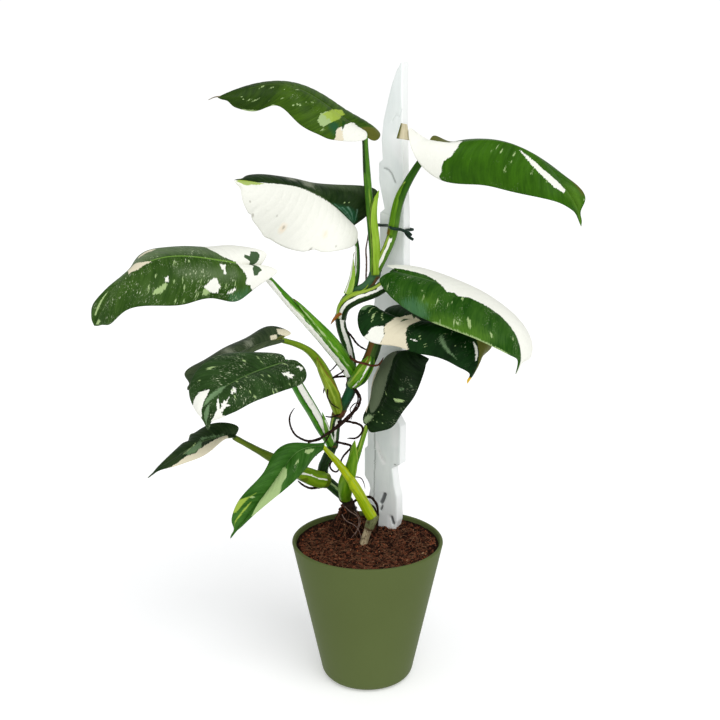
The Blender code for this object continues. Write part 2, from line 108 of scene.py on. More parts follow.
# Stripes down the main stem: kind, degrees from the front, half-width, and from which height to which
STEM_STRIPES = (
    ("husk", -85, 1.8, 256, 314), ("white", 18, 1.7, 258, 322), ("dark", 82, 2.0, 256, 330),
    ("pine", 0, 6.0, 238, 255), ("dark", 70, 3.0, 236, 252), ("teal", -20, 5.0, 334, 357),
    ("husk", 60, 3.0, 336, 350), ("white", 10, 1.1, 206, 226), ("lime", -45, 1.0, 203, 230),
    ("dark", 75, 2.0, 196, 232), ("pine", -60, 1.6, 178, 199), ("mint", 28, 1.0, 154, 172),
    ("dark", -20, 3.0, 178, 198))
SIDE_CANE = ((-10, 8, 98), (-5, 8, 112), (0, 10, 127), (6, 10, 142))
SIDE_CANE_RADIUS = 3.4
CANE_RINGS = 90
CANE_SIDES = 26
CANE_NODE = 130
CANE_NODE_SWELL = 0.08
CANE_NODE_REACH = 1.1
CANE_GIRTH = ((98, 1.05), (128, 1.0), (132, 1.25), (142, 1.4))    # height, share of the radius

# Stalks, close to the solids. A route starts inside the stem and goes on to the base of the leaf, with its
# radii evenly spaced along it, and tone holds a deep and a light green. Stripes are (kind, degrees from the
# front, half-width, start, end), with start and end as shares of the length. The sheath is a pointed gutter:
# tip is its point, at the share of the stalk that it hugs, foot where it starts on that share, side the way
# it faces in degrees from the front, wrap its half-angle, blunt how late it narrows, and reach its radius
# over the stalk's. Its bands are (kind, place across from -1 to 1, half-width, start, end).
# The dark stripes and bands are the stalks' own dark lines and, along a stalk's sides and where a sheath
# meets its stalk, painted shade.
STALKS = {
    "top_left": dict(
        route=((5, 25, 351), (5, 24, 367), (3, 21, 392), (1, 18, 413), (-1, 15, 437)),
        radii=(3.6, 3.8, 3.5, 3.1, 2.2), tone=((46, 92, 12), (90, 138, 40)), stripes=(
            ("lime", 8, 0.35, 0.1, 0.6), ("dark", -76, 1.0, 0.4, 1.0), ("dark", -48, 1.5, 0.74, 1.1),
            ("husk", -92, 0.5, 0.0, 0.4)),
        sheath=dict(tip=(9, 14, 421), at=0.42, side=66, wrap=84, blunt=12, reach=1.5,
                    tone=((124, 164, 30), (156, 192, 66)), bands=(("dark", -0.9, 0.5, 0.0, 0.9),))),
    "top_right": dict(
        route=((6, 25, 351), (15, 24, 370), (20, 23, 383), (24, 21.5, 405), (29, 20, 420)),
        radii=(3.4, 4.2, 4.4, 4.2, 3.3, 2.7), tone=((28, 68, 0), (50, 96, 6)), stripes=(
            # The broad stripe at 45 degrees, half-width 6, is painted light
            ("white", -10, 1.2, 0.03, 0.3), ("lime", -52, 1.4, 0.0, 0.3), ("painted_light", 45, 6.0, -0.2, 0.5),
            ("dark", 85, 1.0, 0.2, 1.0)),
        sheath=dict(tip=(30, 14, 428), at=0.66, foot=0.5, side=-66, wrap=62, blunt=5, reach=1.12,
                    tone=((66, 112, 6), (104, 146, 26)), bands=(
                        ("lime", -0.5, 1.0, 0.0, 1.1), ("dark", 0.1, 0.6, 0.82, 0.93),
                        ("husk", 0, 3, -0.1, 0.1)))),
    "upper_left": dict(
        route=((-14, 24, 333), (-10, 26, 346), (-8.5, 28, 361), (-9, 28.5, 375)),
        radii=(3.2, 2.8, 2.3, 1.9, 1.8),
        tone=((30, 76, 12), (70, 120, 40)), stripes=(
            ("dark", 50, 1.2, 0.0, 1.0), ("white", -38, 0.9, 0.0, 0.7)),
        sheath=dict(tip=(-11.5, 20, 370), at=0.4, side=-84, wrap=80, blunt=2.2, reach=2.1,
                    tone=((124, 168, 40), (172, 200, 96)), bands=(
                        ("white", 0.3, 1.2, 0.05, 0.9), ("husk", 0, 2, 0.93, 1.1)))),
    "left": dict(
        route=((-14.5, 25, 266), (-25, 18, 283.5), (-42, 8, 306.5), (-60, -3, 328)),
        radii=(5.6, 6.4, 5.2, 3.6, 2.3),
        tone=((44, 108, 4), (86, 142, 26)), stripes=(
            ("white", -34, 2.7, 0.0, 0.92), ("dark", -84, 0.7, 0.0, 1.0), ("mint", 4, 0.5, 0.0, 0.7)),
        sheath=dict(tip=(-60, -10, 336), at=0.5, side=66, wrap=62, blunt=4, reach=1.25,
                    tone=((46, 112, 6), (104, 156, 36)), bands=(
                        ("mint", -0.75, 0.4, 0.1, 0.9), ("husk", 0, 2, 0.97, 1.1)))),
    "mid_left_back": dict(
        route=((-25, 24, 230), (-29, 17, 249), (-37, 12, 271.5), (-48, 8, 288)),
        radii=(3.6, 5.4, 4.4, 2.8, 2.0),
        tone=((84, 116, 6), (120, 146, 30)), stripes=(
            ("husk", -95, 0.9, 0.0, 0.6), ("dark", -80, 0.5, 0.5, 1.0)),
        sheath=dict(tip=(-42, 2, 285), at=0.5, side=-22, wrap=86, blunt=2.6, reach=1.22,
                    tone=((96, 126, 10), (148, 168, 50)), bands=(
                        ("husk", 0.9, 0.6, 0.1, 1.0), ("lime", 0.25, 0.5, 0.1, 0.8),
                        ("husk", -0.9, 0.5, 0.0, 0.6), ("husk", 0, 2, 0.95, 1.1)))),
    "mid_left_front": dict(
        route=((-32, 24, 202), (-38, 11, 219), (-45, -3, 238), (-52, -20, 256.5)),
        radii=(3.6, 5.2, 5.4, 5.0, 3.4),
        tone=((36, 108, 0), (80, 144, 30)), stripes=(
            ("white", 40, 3.3, 0.12, 1.0), ("dark", 0, 0.4, 0.0, 0.9), ("dark", 96, 0.4, 0.0, 1.0),
            ("husk", -78, 0.6, 0.0, 1.0)),
        sheath=dict(tip=(-38, -1, 238), at=0.24, side=66, wrap=66, blunt=2.4, reach=1.25,
                    tone=((64, 128, 12), (112, 162, 52)), bands=(("white", 0.0, 0.9, 0.1, 0.8),))),
    "low_left": dict(
        route=((-36.5, 24, 169), (-46, 15, 174.5), (-56, 5, 182.5), (-74, -16, 200)),
        radii=(7.0, 6.6, 5.0, 2.8, 2.0),
        tone=((66, 88, 10), (104, 124, 26)), stripes=(("lime", 90, 1.5, 0.0, 0.6),),
        sheath=dict(tip=(-62, -3, 195), at=0.42, foot=0.12, side=14, wrap=84, blunt=3, reach=1.1,
                    tone=((86, 124, 8), (124, 156, 30)), bands=(
                        ("white", 0.2, 0.7, 0.0, 0.9), ("dark", -0.85, 0.8, 0.0, 1.0)))),
    "low_front": dict(
        route=((4, 10, 140.5), (-4, 9, 156), (-13, 7, 173.5), (-23.5, 3, 190)),
        radii=(4.6, 4.8, 3.6, 2.5, 1.6),
        tone=((138, 162, 0), (182, 194, 22)), stripes=(
            ("lime", 30, 0.5, 0.0, 0.9), ("dark", -96, 0.35, 0.0, 1.0), ("husk", -28, 1.5, 0.0, 0.1)),
        sheath=dict(tip=(-14, 1, 180), at=0.42, side=-30, wrap=50, blunt=3, reach=1.08,
                    tone=((124, 158, 2), (170, 190, 26)), bands=())),
    "right": dict(
        route=((-22, 24, 314), (-19, 16, 325), (-10, 13, 332), (6, 10, 338.5)),
        radii=(4.2, 5.6, 5.6, 5.2, 4.4),
        tone=((14, 38, 6), (36, 66, 16)), stripes=(
            ("white", -14, 1.3, 0.05, 1.1), ("lime", -52, 1.5, 0.0, 0.9), ("green", -84, 2.0, 0.0, 1.0)),
        sheath=dict(tip=(0, 12, 345), at=0.55, side=-90, wrap=56, blunt=3, reach=1.12,
                    tone=((112, 150, 20), (160, 186, 60)), bands=(("green", -0.9, 0.9, 0.0, 1.0),))),
    "right_under": dict(
        route=((-14, 26, 255), (-9, 20, 261), (-3, 16, 270.5), (2.5, 13, 282), (6, 10, 293)),
        radii=(3.8, 5.8, 6.2, 6.0, 5.6, 4.8), tone=((28, 54, 6), (64, 94, 24)), stripes=(
            ("husk", -38, 2.4, 0.4, 1.0), ("dark", 40, 1.4, 0.3, 1.0), ("green", 75, 1.4, 0.2, 1.0)),
        sheath=dict(tip=(2, 11, 289), at=0.5, side=-8, wrap=88, blunt=2.6, reach=1.2,
                    tone=((64, 118, 4), (112, 158, 34)), bands=(
                        ("white", 0.18, 0.7, 0.1, 0.75), ("lime", -0.35, 0.8, 0.05, 0.8),
                        ("husk", -0.2, 0.8, 0.7, 1.1), ("green", 0.6, 1.2, 0.0, 1.0)))),
    "centre": dict(
        route=((-19, 28, 152), (-18, 17, 168), (-14, 12, 183), (-8, 9, 200)), radii=(3.8, 5.0, 4.0, 2.6, 1.9),
        tone=((64, 112, 8), (112, 150, 36)), stripes=(
            ("lime", -18, 0.6, 0.35, 1.0), ("dark", 70, 0.6, 0.3, 1.0)),
        sheath=dict(tip=(-11, 4, 212), at=0.5, side=-34, wrap=84, blunt=5, reach=1.55,
                    tone=((72, 120, 8), (112, 152, 28)), bands=(("lime", 0.92, 0.5, 0.2, 1.0),))),
}

# Leaf blades, close to the solids: the midrib, then each margin, from the base of the leaf to its tip, and
# bulge, how far the left and the right half swell upwards. Marks lie in the leaf's own coordinates: t runs
# from its base, 0, to its tip, 1, and v from the right margin, -1, over the midrib, 0, to the left margin, 1.
# Nicks are (side, t, depth, half-width in t), and drip is the share by which the margins are drawn in before
# the tip. tone holds a deep and a light green, flecks is the density of the fine pale specks, and rib is the
# (colour, start, end, half-width, cover) of the paler midrib. Marks are (kind, corners of a patch), spots
# (kind, t, v, radius) and dashes the (t, v) of small pale strokes, which lean by slant degrees.
LEAVES = {
    "top_left": dict(
        midrib=((-2, 12, 467), (-24, 8, 482), (-65, -4, 503), (-94, -14, 499), (-115, -20, 493)),
        left=((-1, 4, 463), (-17, -7, 460), (-34, -15, 464), (-53, -17, 473), (-72, -12, 487),
              (-87, -11, 483), (-99, -13, 484.5), (-108, -18, 488)),
        right=((1.5, 15, 461.5), (6.5, 19, 460.5), (10, 24, 465), (4, 29, 471.5), (-18, 40, 482),
               (-46, 36, 498), (-88, 10, 500)), bulge=(5, 4), drip=0.3,
        nicks=(("left", 0.30, -1.5, 0.05),),
        tone=((40, 68, 8), (68, 100, 16)), flecks=0.25, rib=((92, 116, 44), 0.3, 0.85, 0.4, 0.5), marks=(
            # The first two marks are painted shade, over the tip and along the right margin
            ("painted_shade", ((0.66, -1.1), (0.7, 0.9), (1.1, 1.1), (1.1, -1.1))),
            ("painted_shade", ((0.2, -1.1), (0.2, -0.6), (0.66, -0.5), (0.66, -1.1))),
            ("pine", ((0.34, 0.53), (0.29, 0.5), (0.26, 0.74), (0.28, 0.86), (0.34, 0.71))),
            ("lobe", ((-0.1, -1.2), (0.15, -1.2), (0.11, -0.06), (-0.1, -0.06))),
            ("mint", ((0.414, 0.71), (0.418, 0.5), (0.386, 0.3), (0.355, 0.27), (0.332, 0.56), (0.364, 0.8),
                      (0.386, 0.8))),
            ("lime", ((0.405, 0.5), (0.377, 0.25), (0.355, 0.03), (0.314, -0.22), (0.275, -0.1),
                      (0.295, 0.32), (0.336, 0.59), (0.36, 0.5), (0.37, 0.58), (0.382, 0.5))),
            ("white", ((0.284, 0.72), (0.268, 0.62), (0.245, 0.47), (0.218, 0.29), (0.182, -0.04), (0.1, 0.0),
                       (-0.1, 0.1), (-0.1, 1.2), (0.25, 1.2), (0.262, 0.95))),
            ("cream", ((0.284, 0.72), (0.265, 0.6), (0.25, 0.72), (0.24, 0.7), (0.225, 0.85), (0.21, 0.95),
                       (0.22, 1.2), (0.25, 1.2), (0.262, 0.95))),
            ("green", ((0.276, 0.3), (0.246, 0.3), (0.243, 0.55), (0.246, 0.72), (0.256, 0.6))),
            ("mint", ((0.85, 0.97), (0.81, 0.93), (0.76, 0.96), (0.76, 1.1), (0.85, 1.1))),
            ("mint", ((0.69, 0.97), (0.66, 0.97), (0.66, 1.1), (0.69, 1.1)))),
        slant=65, dashes=((0.782, 0.04), (0.732, 0.15), (0.595, 0.15), (0.49, 0.32), (0.518, 0.45),
                          (0.645, 0.71), (0.838, 0.5), (0.803, 0.53), (0.36, 0.87)),
        spots=(("mint", 0.565, 0.76, 0.5), ("mint", 0.55, 0.68, 0.6), ("mint", 0.538, 0.64, 0.4),
               ("mint", 0.882, 0.34, 0.55), ("mint", 0.868, 0.47, 0.55), ("mint", 0.66, 0.3, 0.35),
               ("mint", 0.6, 0.62, 0.35), ("mint", 0.44, 0.42, 0.35), ("mint", 0.72, 0.72, 0.35))),
    "top_right": dict(
        midrib=((48, 18, 453), (89, 8, 461), (125, -2, 453), (155, -14, 423), (167, -20, 395)),
        left=((53, 30, 464), (67.5, 44, 459.5), (86, 52, 460.5), (122.5, 44, 456), (144.5, 24, 442.5),
              (161, -7, 429.5), (169.5, -17, 419)),
        right=((33, 16, 470), (33.5, 11, 458.5), (44, 8, 439.5), (60, 7.5, 429), (88, 3, 426),
               (112.5, -15, 421.5), (136, -29.5, 417), (153, -27.5, 411)), bulge=(1, 6),
        tone=((38, 78, 2), (56, 102, 8)), flecks=0.3, rib=((104, 140, 60), 0.35, 0.9, 0.35, 0.4), marks=(
            ("olive", ((0.55, 0.9), (0.7, 0.8), (0.88, 0.8), (0.88, 1.3), (0.55, 1.3))),
            # Painted light over the tip
            ("painted_light", ((0.84, -0.5), (0.84, 0.6), (1.1, 1.1), (1.1, -1.1))),
            ("lobe", ((0.02, 0.3), (0.16, 0.25), (0.22, 0.5), (0.22, 1.2), (0.02, 1.2))),
            ("white", ((-0.1, 1.1), (0.12, 1.1), (0.2, 0.5), (0.28, 0.05), (0.32, -0.27), (0.33, -0.5),
                       (0.32, -0.65), (0.33, -0.76), (0.345, -0.87), (0.34, -0.94), (0.36, -1.0),
                       (0.36, -1.1), (-0.1, -1.1))),
            ("white", ((0.59, -0.07), (0.65, -0.14), (0.72, -0.24), (0.79, -0.31), (0.84, -0.38),
                       (0.84, -0.6), (0.8, -0.6), (0.74, -0.46), (0.66, -0.26)))),
        slant=-10, dashes=((0.49, -0.11), (0.52, -0.2), (0.58, -0.2), (0.59, -0.39), (0.58, -0.56),
                           (0.59, -0.62), (0.69, -0.47), (0.76, -0.53), (0.48, -0.22), (0.9, 0.9))),
    "upper_left": dict(
        midrib=((-12, 26, 391), (-31, 8, 412), (-56, -12, 425), (-84, -34, 429), (-101, -46, 432)),
        left=((-9, 18, 384), (-25, -13, 375), (-57, -13, 375), (-90, -37, 403)),
        right=((-1, 31, 399), (9, 33, 417), (-23, 28, 424.5), (-69, 0, 433), (-95, -32, 434.6)), bulge=(5, 2),
        nicks=(("left", 0.4, 2.5, 0.03), ("left", 0.68, -1.5, 0.03), ("left", 0.81, 1.3, 0.012)), drip=0.3,
        tone=((20, 42, 10), (50, 70, 34)), flecks=0.1, marks=(
            # Painted light first: a pale sheen by the right margin, shade over the right half of the tip and
            # of the base, sheen streaks fanning from the base and two grey sheens
            ("sheen_and_fleck_haze", ((0.3, -1.2), (0.3, -0.8), (0.62, -0.6), (0.62, -1.2))),
            ("painted_shade", ((0.6, -1.2), (0.6, -0.1), (1.1, -0.1), (1.1, -1.2))),
            ("painted_shade", ((-0.1, -1.2), (0.35, -0.7), (0.35, -0.1), (-0.1, -0.1))),
            ("sheen_ray", ((0.03, -0.05), (0.34, -0.04), (0.34, -0.06))),
            ("sheen_ray", ((0.03, -0.07), (0.28, -0.1), (0.275, -0.12))),
            ("sheen_ray", ((0.03, -0.09), (0.26, -0.19), (0.25, -0.215))),
            ("sheen_ray", ((0.03, -0.12), (0.19, -0.32), (0.185, -0.345))),
            ("grey", ((0.5, -1.1), (0.52, -0.25), (0.58, -0.25), (0.6, -1.1))),
            ("grey", ((0.62, -0.9), (0.63, -0.4), (0.67, -0.4), (0.68, -0.9))),
            ("pine", ((0.34, -0.04), (0.24, -0.22), (0.08, -0.3), (0.05, 0), (0.36, 0))),
            ("white", ((-0.1, 0.03), (0.5, 0.02), (1.1, -0.1), (1.1, 1.2), (-0.1, 1.2))),
            ("lime", ((0.98, -0.3), (0.91, -0.1), (0.84, 0.0), (0.88, 0.08), (0.91, 0.13), (0.945, 0.45),
                      (0.99, 0.4)))),
        spots=(("speck", 0.864, 0.77, 0.7), ("speck", 0.8, 0.95, 0.9), ("speck", 0.69, 0.59, 0.45),
               ("speck", 0.62, 0.72, 0.8), ("speck", 0.295, 0.9, 0.5), ("speck", 0.42, 0.98, 0.9),
               ("stain", 0.622, 0.74, 2.1), ("stain", 0.38, 0.68, 1.5),
               ("mint", 0.295, -0.26, 0.4), ("mint", 0.275, -0.32, 0.4)),
        dashes=()),
    "left": dict(
        midrib=((-86, -20, 363), (-119, -36, 371), (-158, -52, 374), (-192, -66, 352), (-206.5, -68, 325)),
        left=((-72, -23, 361), (-88, -35, 348.5), (-104, -43, 339), (-119, -48, 342.5), (-138.5, -63, 340.5),
              (-162, -78.5, 342), (-178, -82.5, 339.5), (-193.5, -78, 327)),
        right=((-80, -21.2, 372.8), (-94, -20, 378.6), (-137, -15, 379), (-180, -32, 371),
               (-189.5, -48, 354.5), (-200.5, -58, 348), (-208, -62, 341), (-210.2, -65, 334),
               (-208.5, -67, 328)), bulge=(4, 3), drip=0.15,
        nicks=(("right", 0.55, -3, 0.08),),
        tone=((36, 66, 12), (62, 92, 32)), flecks=0.8, rib=((124, 168, 66), 0.08, 0.68, 0.8, 0.7), marks=(
            # Two pale painted sheens
            ("sheen_and_fleck_haze", ((0.3, -1.2), (0.3, -0.1), (0.8, -0.1), (0.8, -1.2))),
            ("sheen_and_fleck_haze", ((0.56, 0.34), (0.44, 0.28), (0.26, 0.26), (0.26, 0.42), (0.38, 0.55), (0.5, 0.52))),
            ("white", ((-0.1, 1.2), (0.21, 1.2), (0.22, 0.93), (0.22, 0.85), (0.24, 0.72), (0.22, 0.6),
                       (0.22, 0.35), (0.22, 0.1), (0.22, -0.05), (0.26, -0.08), (0.3, -0.18), (0.34, -0.45),
                       (0.35, -1.1), (-0.1, -1.1))),
            ("green", ((0.12, 0.02), (0.125, -0.22), (0.16, -0.33), (0.155, -0.5), (0.13, -0.48),
                       (0.125, -0.77), (0.1, -0.84), (0.085, -0.71), (0.078, -0.42), (0.08, -0.2),
                       (0.1, 0.0))),
            ("green", ((0.15, 0.3), (0.175, 0.42), (0.19, 0.66), (0.175, 0.7), (0.16, 0.62), (0.145, 0.62),
                       (0.13, 0.3), (0.12, 0.0), (0.135, 0.05))),
            ("white", ((0.335, 0.12), (0.3, 0.12), (0.315, 0.22), (0.318, 0.34), (0.338, 0.38), (0.328, 0.26),
                       (0.338, 0.24))),
            ("white", ((0.448, 0.74), (0.425, 0.66), (0.395, 0.53), (0.377, 0.49), (0.377, 0.6),
                       (0.368, 0.68), (0.375, 0.74), (0.387, 0.85), (0.41, 0.88), (0.435, 0.85))),
            ("mint", ((0.46, 0.9), (0.452, 0.79), (0.44, 0.78), (0.43, 0.82), (0.419, 0.86), (0.44, 0.94))),
            ("white", ((0.345, 0.83), (0.335, 0.77), (0.3, 0.69), (0.295, 0.74), (0.32, 0.8))),
            # A bluish painted sheen near the base of the left margin
            ("teal", ((0.33, 0.82), (0.23, 0.85), (0.24, 1.1), (0.34, 1.1))),
            ("mint", ((0.68, 0.78), (0.67, 0.7), (0.64, 0.62), (0.62, 0.56), (0.61, 0.58), (0.62, 0.68),
                      (0.65, 0.77))),
            ("white", ((0.62, 0.56), (0.615, 0.46), (0.6, 0.44), (0.605, 0.55))),
            ("cream", ((0.55, -0.66), (0.575, -0.6), (0.63, -0.64), (0.645, -0.72), (0.61, -0.8),
                       (0.57, -0.78))),
            ("cream", ((0.655, 0.02), (0.68, -0.13), (0.69, -0.45), (0.735, -0.36), (0.76, 0.03),
                       (0.72, 0.08))),
            ("mint", ((0.855, -0.14), (0.91, -0.18), (0.955, -0.26), (0.96, -0.46), (0.92, -0.34),
                      (0.87, -0.22))),
            ("mint", ((0.955, 0.45), (0.945, 0.7), (0.97, 0.86), (0.985, 0.6)))),
        slant=25, dashes=((0.65, 0.39), (0.56, 0.15), (0.49, 0.13), (0.58, 0.56), (0.54, 0.53), (0.46, 0.65),
                          (0.54, 0.71), (0.49, 0.9), (0.69, 0.65), (0.59, 0.9), (0.55, 0.93), (0.67, 0.74),
                          (0.91, 0.32), (0.34, 0.65), (0.29, 0.62), (0.48, 0.87))),
    "mid_left_back": dict(
        midrib=((-70, -5, 302), (-100, -10, 294), (-130, -16, 277), (-147, -19, 262)),
        left=((-69, -8, 301), (-83, -15, 297), (-107, -24, 283), (-134, -22, 267)),
        right=((-63.5, 0, 305), (-72, 5.5, 309.5), (-88, 10, 308), (-101, 11.5, 300), (-121.5, 6.5, 291),
               (-139, -2.5, 282), (-150.5, -12.5, 274)), bulge=(3, 2),
        tone=((44, 60, 36), (72, 84, 56)), flecks=0.1, rib=((110, 130, 80), 0, 0.9, 0.4, 0.4), marks=(
            ("cream", ((0.17, -0.74), (0.12, -0.98), (0.05, -1.2), (-0.1, -1.2), (-0.1, -0.5), (0.07, -0.38),
                       (0.14, -0.42))),
            ("cream", ((0.205, -0.29), (0.145, -0.36), (0.125, -0.1), (0.19, -0.02))),
            ("lobe", ((0.12, -0.2), (0.08, -0.42), (-0.1, -0.55), (-0.1, 0.6), (0.15, 0.53), (0.14, 0.0))),
            # Two grey painted sheens
            ("grey", ((0.43, -0.5), (0.38, -0.45), (0.39, -0.1), (0.44, -0.1))),
            ("grey", ((0.6, -0.7), (0.56, -0.7), (0.55, -0.1), (0.6, -0.1)))),
        dashes=()),
    "mid_left_front": dict(
        midrib=((-64, -50, 293), (-85, -74, 291), (-105, -96, 285), (-118, -108, 273), (-117, -110, 256)),
        left=((-58.5, -52, 294.5), (-50, -52.5, 289.5), (-48, -60, 282.5), (-61, -77.5, 278), (-74, -98, 278),
              (-86.5, -108, 275), (-96, -111.5, 270.5), (-106, -112, 266)),
        right=((-66, -45, 296), (-83, -48, 300), (-118, -66, 300), (-133, -91, 283)), bulge=(4, 3),
        tone=((24, 48, 12), (48, 76, 34)), flecks=0.75, drip=0.4, rib=((120, 160, 84), 0.05, 0.7, 0.5, 0.6),
        marks=(
            ("white", ((0.31, 0.46), (0.29, 0.5), (0.25, 0.52), (0.272, 0.6), (0.25, 0.7), (0.278, 0.7),
                       (0.285, 0.78), (0.3, 0.7), (0.32, 0.74), (0.305, 0.62), (0.32, 0.58))),
            ("white", ((0.162, 0.6), (0.136, 0.68), (0.128, 0.88), (0.15, 0.84), (0.172, 0.76),
                       (0.155, 0.7))),
            ("mint", ((0.14, 0.14), (0.17, 0.3), (0.18, 0.26), (0.155, 0.12))),
            ("white", ((0.84, -0.85), (0.78, -0.55), (0.76, -0.27), (0.8, -0.2), (0.86, -0.2), (0.92, -0.35),
                       (0.94, -1.1), (0.85, -1.1))),
            ("sage", ((0.69, 0.0), (0.76, -0.1), (0.81, -0.13), (0.87, -0.17), (0.86, -0.03), (0.815, 0.09),
                      (0.76, 0.13))),
            ("white", ((0.788, 0.2), (0.812, 0.3), (0.842, 0.42), (0.855, 0.56), (0.882, 0.62), (0.93, 0.75),
                       (0.95, 1.1), (0.86, 1.1), (0.868, 0.9), (0.855, 0.77), (0.814, 0.71), (0.792, 0.75),
                       (0.8, 0.62), (0.76, 0.5), (0.79, 0.54), (0.79, 0.46), (0.812, 0.55), (0.818, 0.48),
                       (0.826, 0.6), (0.846, 0.64), (0.822, 0.44))),
            ("white", ((0.688, 0.24), (0.69, 0.37), (0.704, 0.44), (0.718, 0.54), (0.722, 0.44),
                       (0.738, 0.47), (0.718, 0.32))),
            ("sage", ((0.85, 0.12), (0.886, -0.02), (0.94, -0.15), (0.99, -0.08), (0.94, 0.3), (0.89, 0.28))),
            ("mint", ((0.58, -0.76), (0.55, -0.6), (0.56, -0.58), (0.6, -0.74)))),
        slant=20, dashes=((0.28, -0.39), (0.4, -0.39), (0.3, -0.18), (0.59, -0.71), (0.69, -0.71),
                          (0.63, 0.11), (0.59, 0.24), (0.46, 0.34), (0.42, 0.42), (0.51, 0.47), (0.71, 0.34),
                          (0.74, 0.62), (0.51, 0.94), (0.47, 0.94), (0.55, 0.11), (0.34, 0.87), (0.65, 0.71),
                          (0.65, 0.9))),
    "low_left": dict(
        midrib=((-106, -45, 231), (-127, -60, 232), (-149, -72, 222), (-169, -82, 209)),
        left=((-110, -53, 232), (-115.5, -64.5, 231.5), (-125.5, -75.5, 225.5), (-138, -80, 221.5),
              (-150, -81, 217.5), (-159.5, -81.5, 215)),
        right=((-103, -45, 237), (-115, -44, 242), (-138, -47, 234), (-158, -69, 219)), bulge=(2, 2),
        nicks=(("right", 0.47, -2.0, 0.025), ("right", 0.54, 3.0, 0.03)), drip=0.5,
        tone=((26, 46, 20), (46, 64, 32)), flecks=0.0, rib=((112, 142, 88), 0, 0.7, 0.5, 0.7), marks=(
            ("cream", ((0.16, 0.3), (0.36, 0.4), (0.45, 0.5), (0.5, 0.58), (0.53, 0.7), (0.62, 0.66),
                       (0.7, 0.84), (0.79, 0.99), (0.8, 1.1), (0.1, 1.1))),
            ("sage", ((0.1, -0.06), (0.3, -0.12), (0.46, -0.2), (0.47, -0.1), (0.3, -0.02), (0.1, 0.02))),
            ("sage", ((0.48, -0.15), (0.57, 0.05), (0.64, 0.42), (0.6, 0.62), (0.54, 0.68), (0.48, 0.45))),
            ("mint", ((0.52, -0.18), (0.6, 0.06), (0.65, 0.42), (0.64, 0.42), (0.58, 0.1))),
            ("mint", ((0.56, -1.1), (0.48, -0.95), (0.44, -0.9), (0.44, -1.1)))),
        dashes=()),
    "low_front": dict(
        midrib=((-36, -20, 215), (-57, -36, 215), (-70, -50, 202), (-89, -66, 180), (-108, -76, 157)),
        left=((-43, -26, 208), (-50, -38, 202), (-67, -61, 191), (-91, -70, 173)),
        right=((-44, -26, 219), (-66, -36, 221.5), (-75.5, -44, 216.5), (-82.5, -55, 205), (-101.5, -66, 185),
               (-107, -70.5, 172.5)), bulge=(2, 2),
        tone=((34, 78, 12), (62, 108, 38)), flecks=0.15, rib=((120, 156, 92), 0.05, 0.7, 0.4, 0.6), marks=(
            ("mint", ((0.5, -0.06), (0.46, 0.3), (0.47, 0.6), (0.51, 0.68), (0.55, 1.1), (0.78, 1.1),
                      (0.8, 0.8), (0.74, 0.17), (0.65, 0.0), (0.58, -0.04))),
            ("mint", ((0.27, 0.17), (0.26, 0.1), (0.21, 0.11), (0.16, 0.17), (0.18, 0.3), (0.24, 0.33))),
            ("mint", ((0.39, 0.43), (0.34, 0.3), (0.345, 0.42))),
            ("lime", ((0.7, -0.47), (0.74, -0.62), (0.77, -0.66), (0.84, -0.78), (0.85, -1.1), (0.77, -1.1),
                      (0.74, -0.8), (0.735, -0.66))),
            ("lime", ((0.94, -0.8), (0.88, -0.62), (0.82, -0.48), (0.76, -0.36), (0.81, -0.36),
                      (0.87, -0.48)))),
        dashes=((0.73, -0.52),)),
    "right": dict(
        midrib=((23, 5, 356), (57, -18, 350), (96, -42, 334), (116, -56, 308), (113, -62, 286)),
        left=((16, 17, 359), (34, 22, 358.5), (54, 19, 354), (91, 0, 341), (110, -14, 330), (124, -30, 316),
              (128.5, -42, 304), (124.5, -52, 293.5)),
        right=((10, 0, 351.5), (13.5, -11, 343), (48, -40, 323), (83, -66, 313.5), (103.5, -68, 304),
               (113.5, -62, 294)), bulge=(3, 5),
        tone=((24, 66, 4), (52, 92, 24)), flecks=0.5, rib=((104, 144, 76), 0.0, 0.55, 0.35, 0.5), marks=(
            ("white", ((-0.1, 0.5), (0.05, 0.45), (0.1, 0.3), (0.17, 0.2), (0.27, 0.18), (0.35, 0.06),
                       (0.42, -0.1), (0.46, -0.2), (0.5, -0.16), (0.53, -0.21), (0.57, -0.12), (0.66, -0.08),
                       (0.75, -0.06), (0.84, -0.1), (0.92, -0.2), (0.97, -0.05), (1.1, 0.02), (1.1, 1.2),
                       (-0.1, 1.2))),
            ("mint", ((0.47, -0.98), (0.72, -0.97), (0.88, -0.96), (0.88, -1.2), (0.47, -1.2))),
            # Two zones of painted light by the right margin
            ("painted_light", ((0.47, -0.9), (0.6, -0.82), (0.76, -0.82), (0.76, -1.1), (0.47, -1.1))),
            ("painted_light", ((0.36, -0.7), (0.4, -0.52), (0.44, -0.66), (0.39, -0.8))),
            ("mint", ((0.57, -0.8), (0.61, -0.88), (0.6, -0.8))),
            ("mint", ((0.62, -0.62), (0.63, -0.7), (0.665, -0.86), (0.665, -0.8), (0.645, -0.68))),
            ("mint", ((0.74, -0.71), (0.77, -0.82), (0.765, -0.74))),
            # A bluish painted sheen by the right margin
            ("teal", ((0.27, -0.9), (0.32, -0.7), (0.4, -0.72), (0.44, -0.93), (0.4, -1.1), (0.3, -1.1)))),
        slant=-30, dashes=((0.16, -0.87), (0.34, -0.42), (0.37, -0.59), (0.45, -0.53), (0.51, -0.53),
                           (0.58, -0.84), (0.51, -0.93), (0.55, -0.22), (0.52, -0.42), (0.84, -0.4))),
    "right_under": dict(
        midrib=((12, 2, 320), (50, -14, 318), (81, -28, 309), (87, -34, 291), (79, -36, 272)),
        left=((17, 18, 324), (31, 23, 326), (72, 4, 314), (91, -10.5, 304), (100, -18.5, 299), (92, -25, 292),
              (84.5, -32.5, 284)),
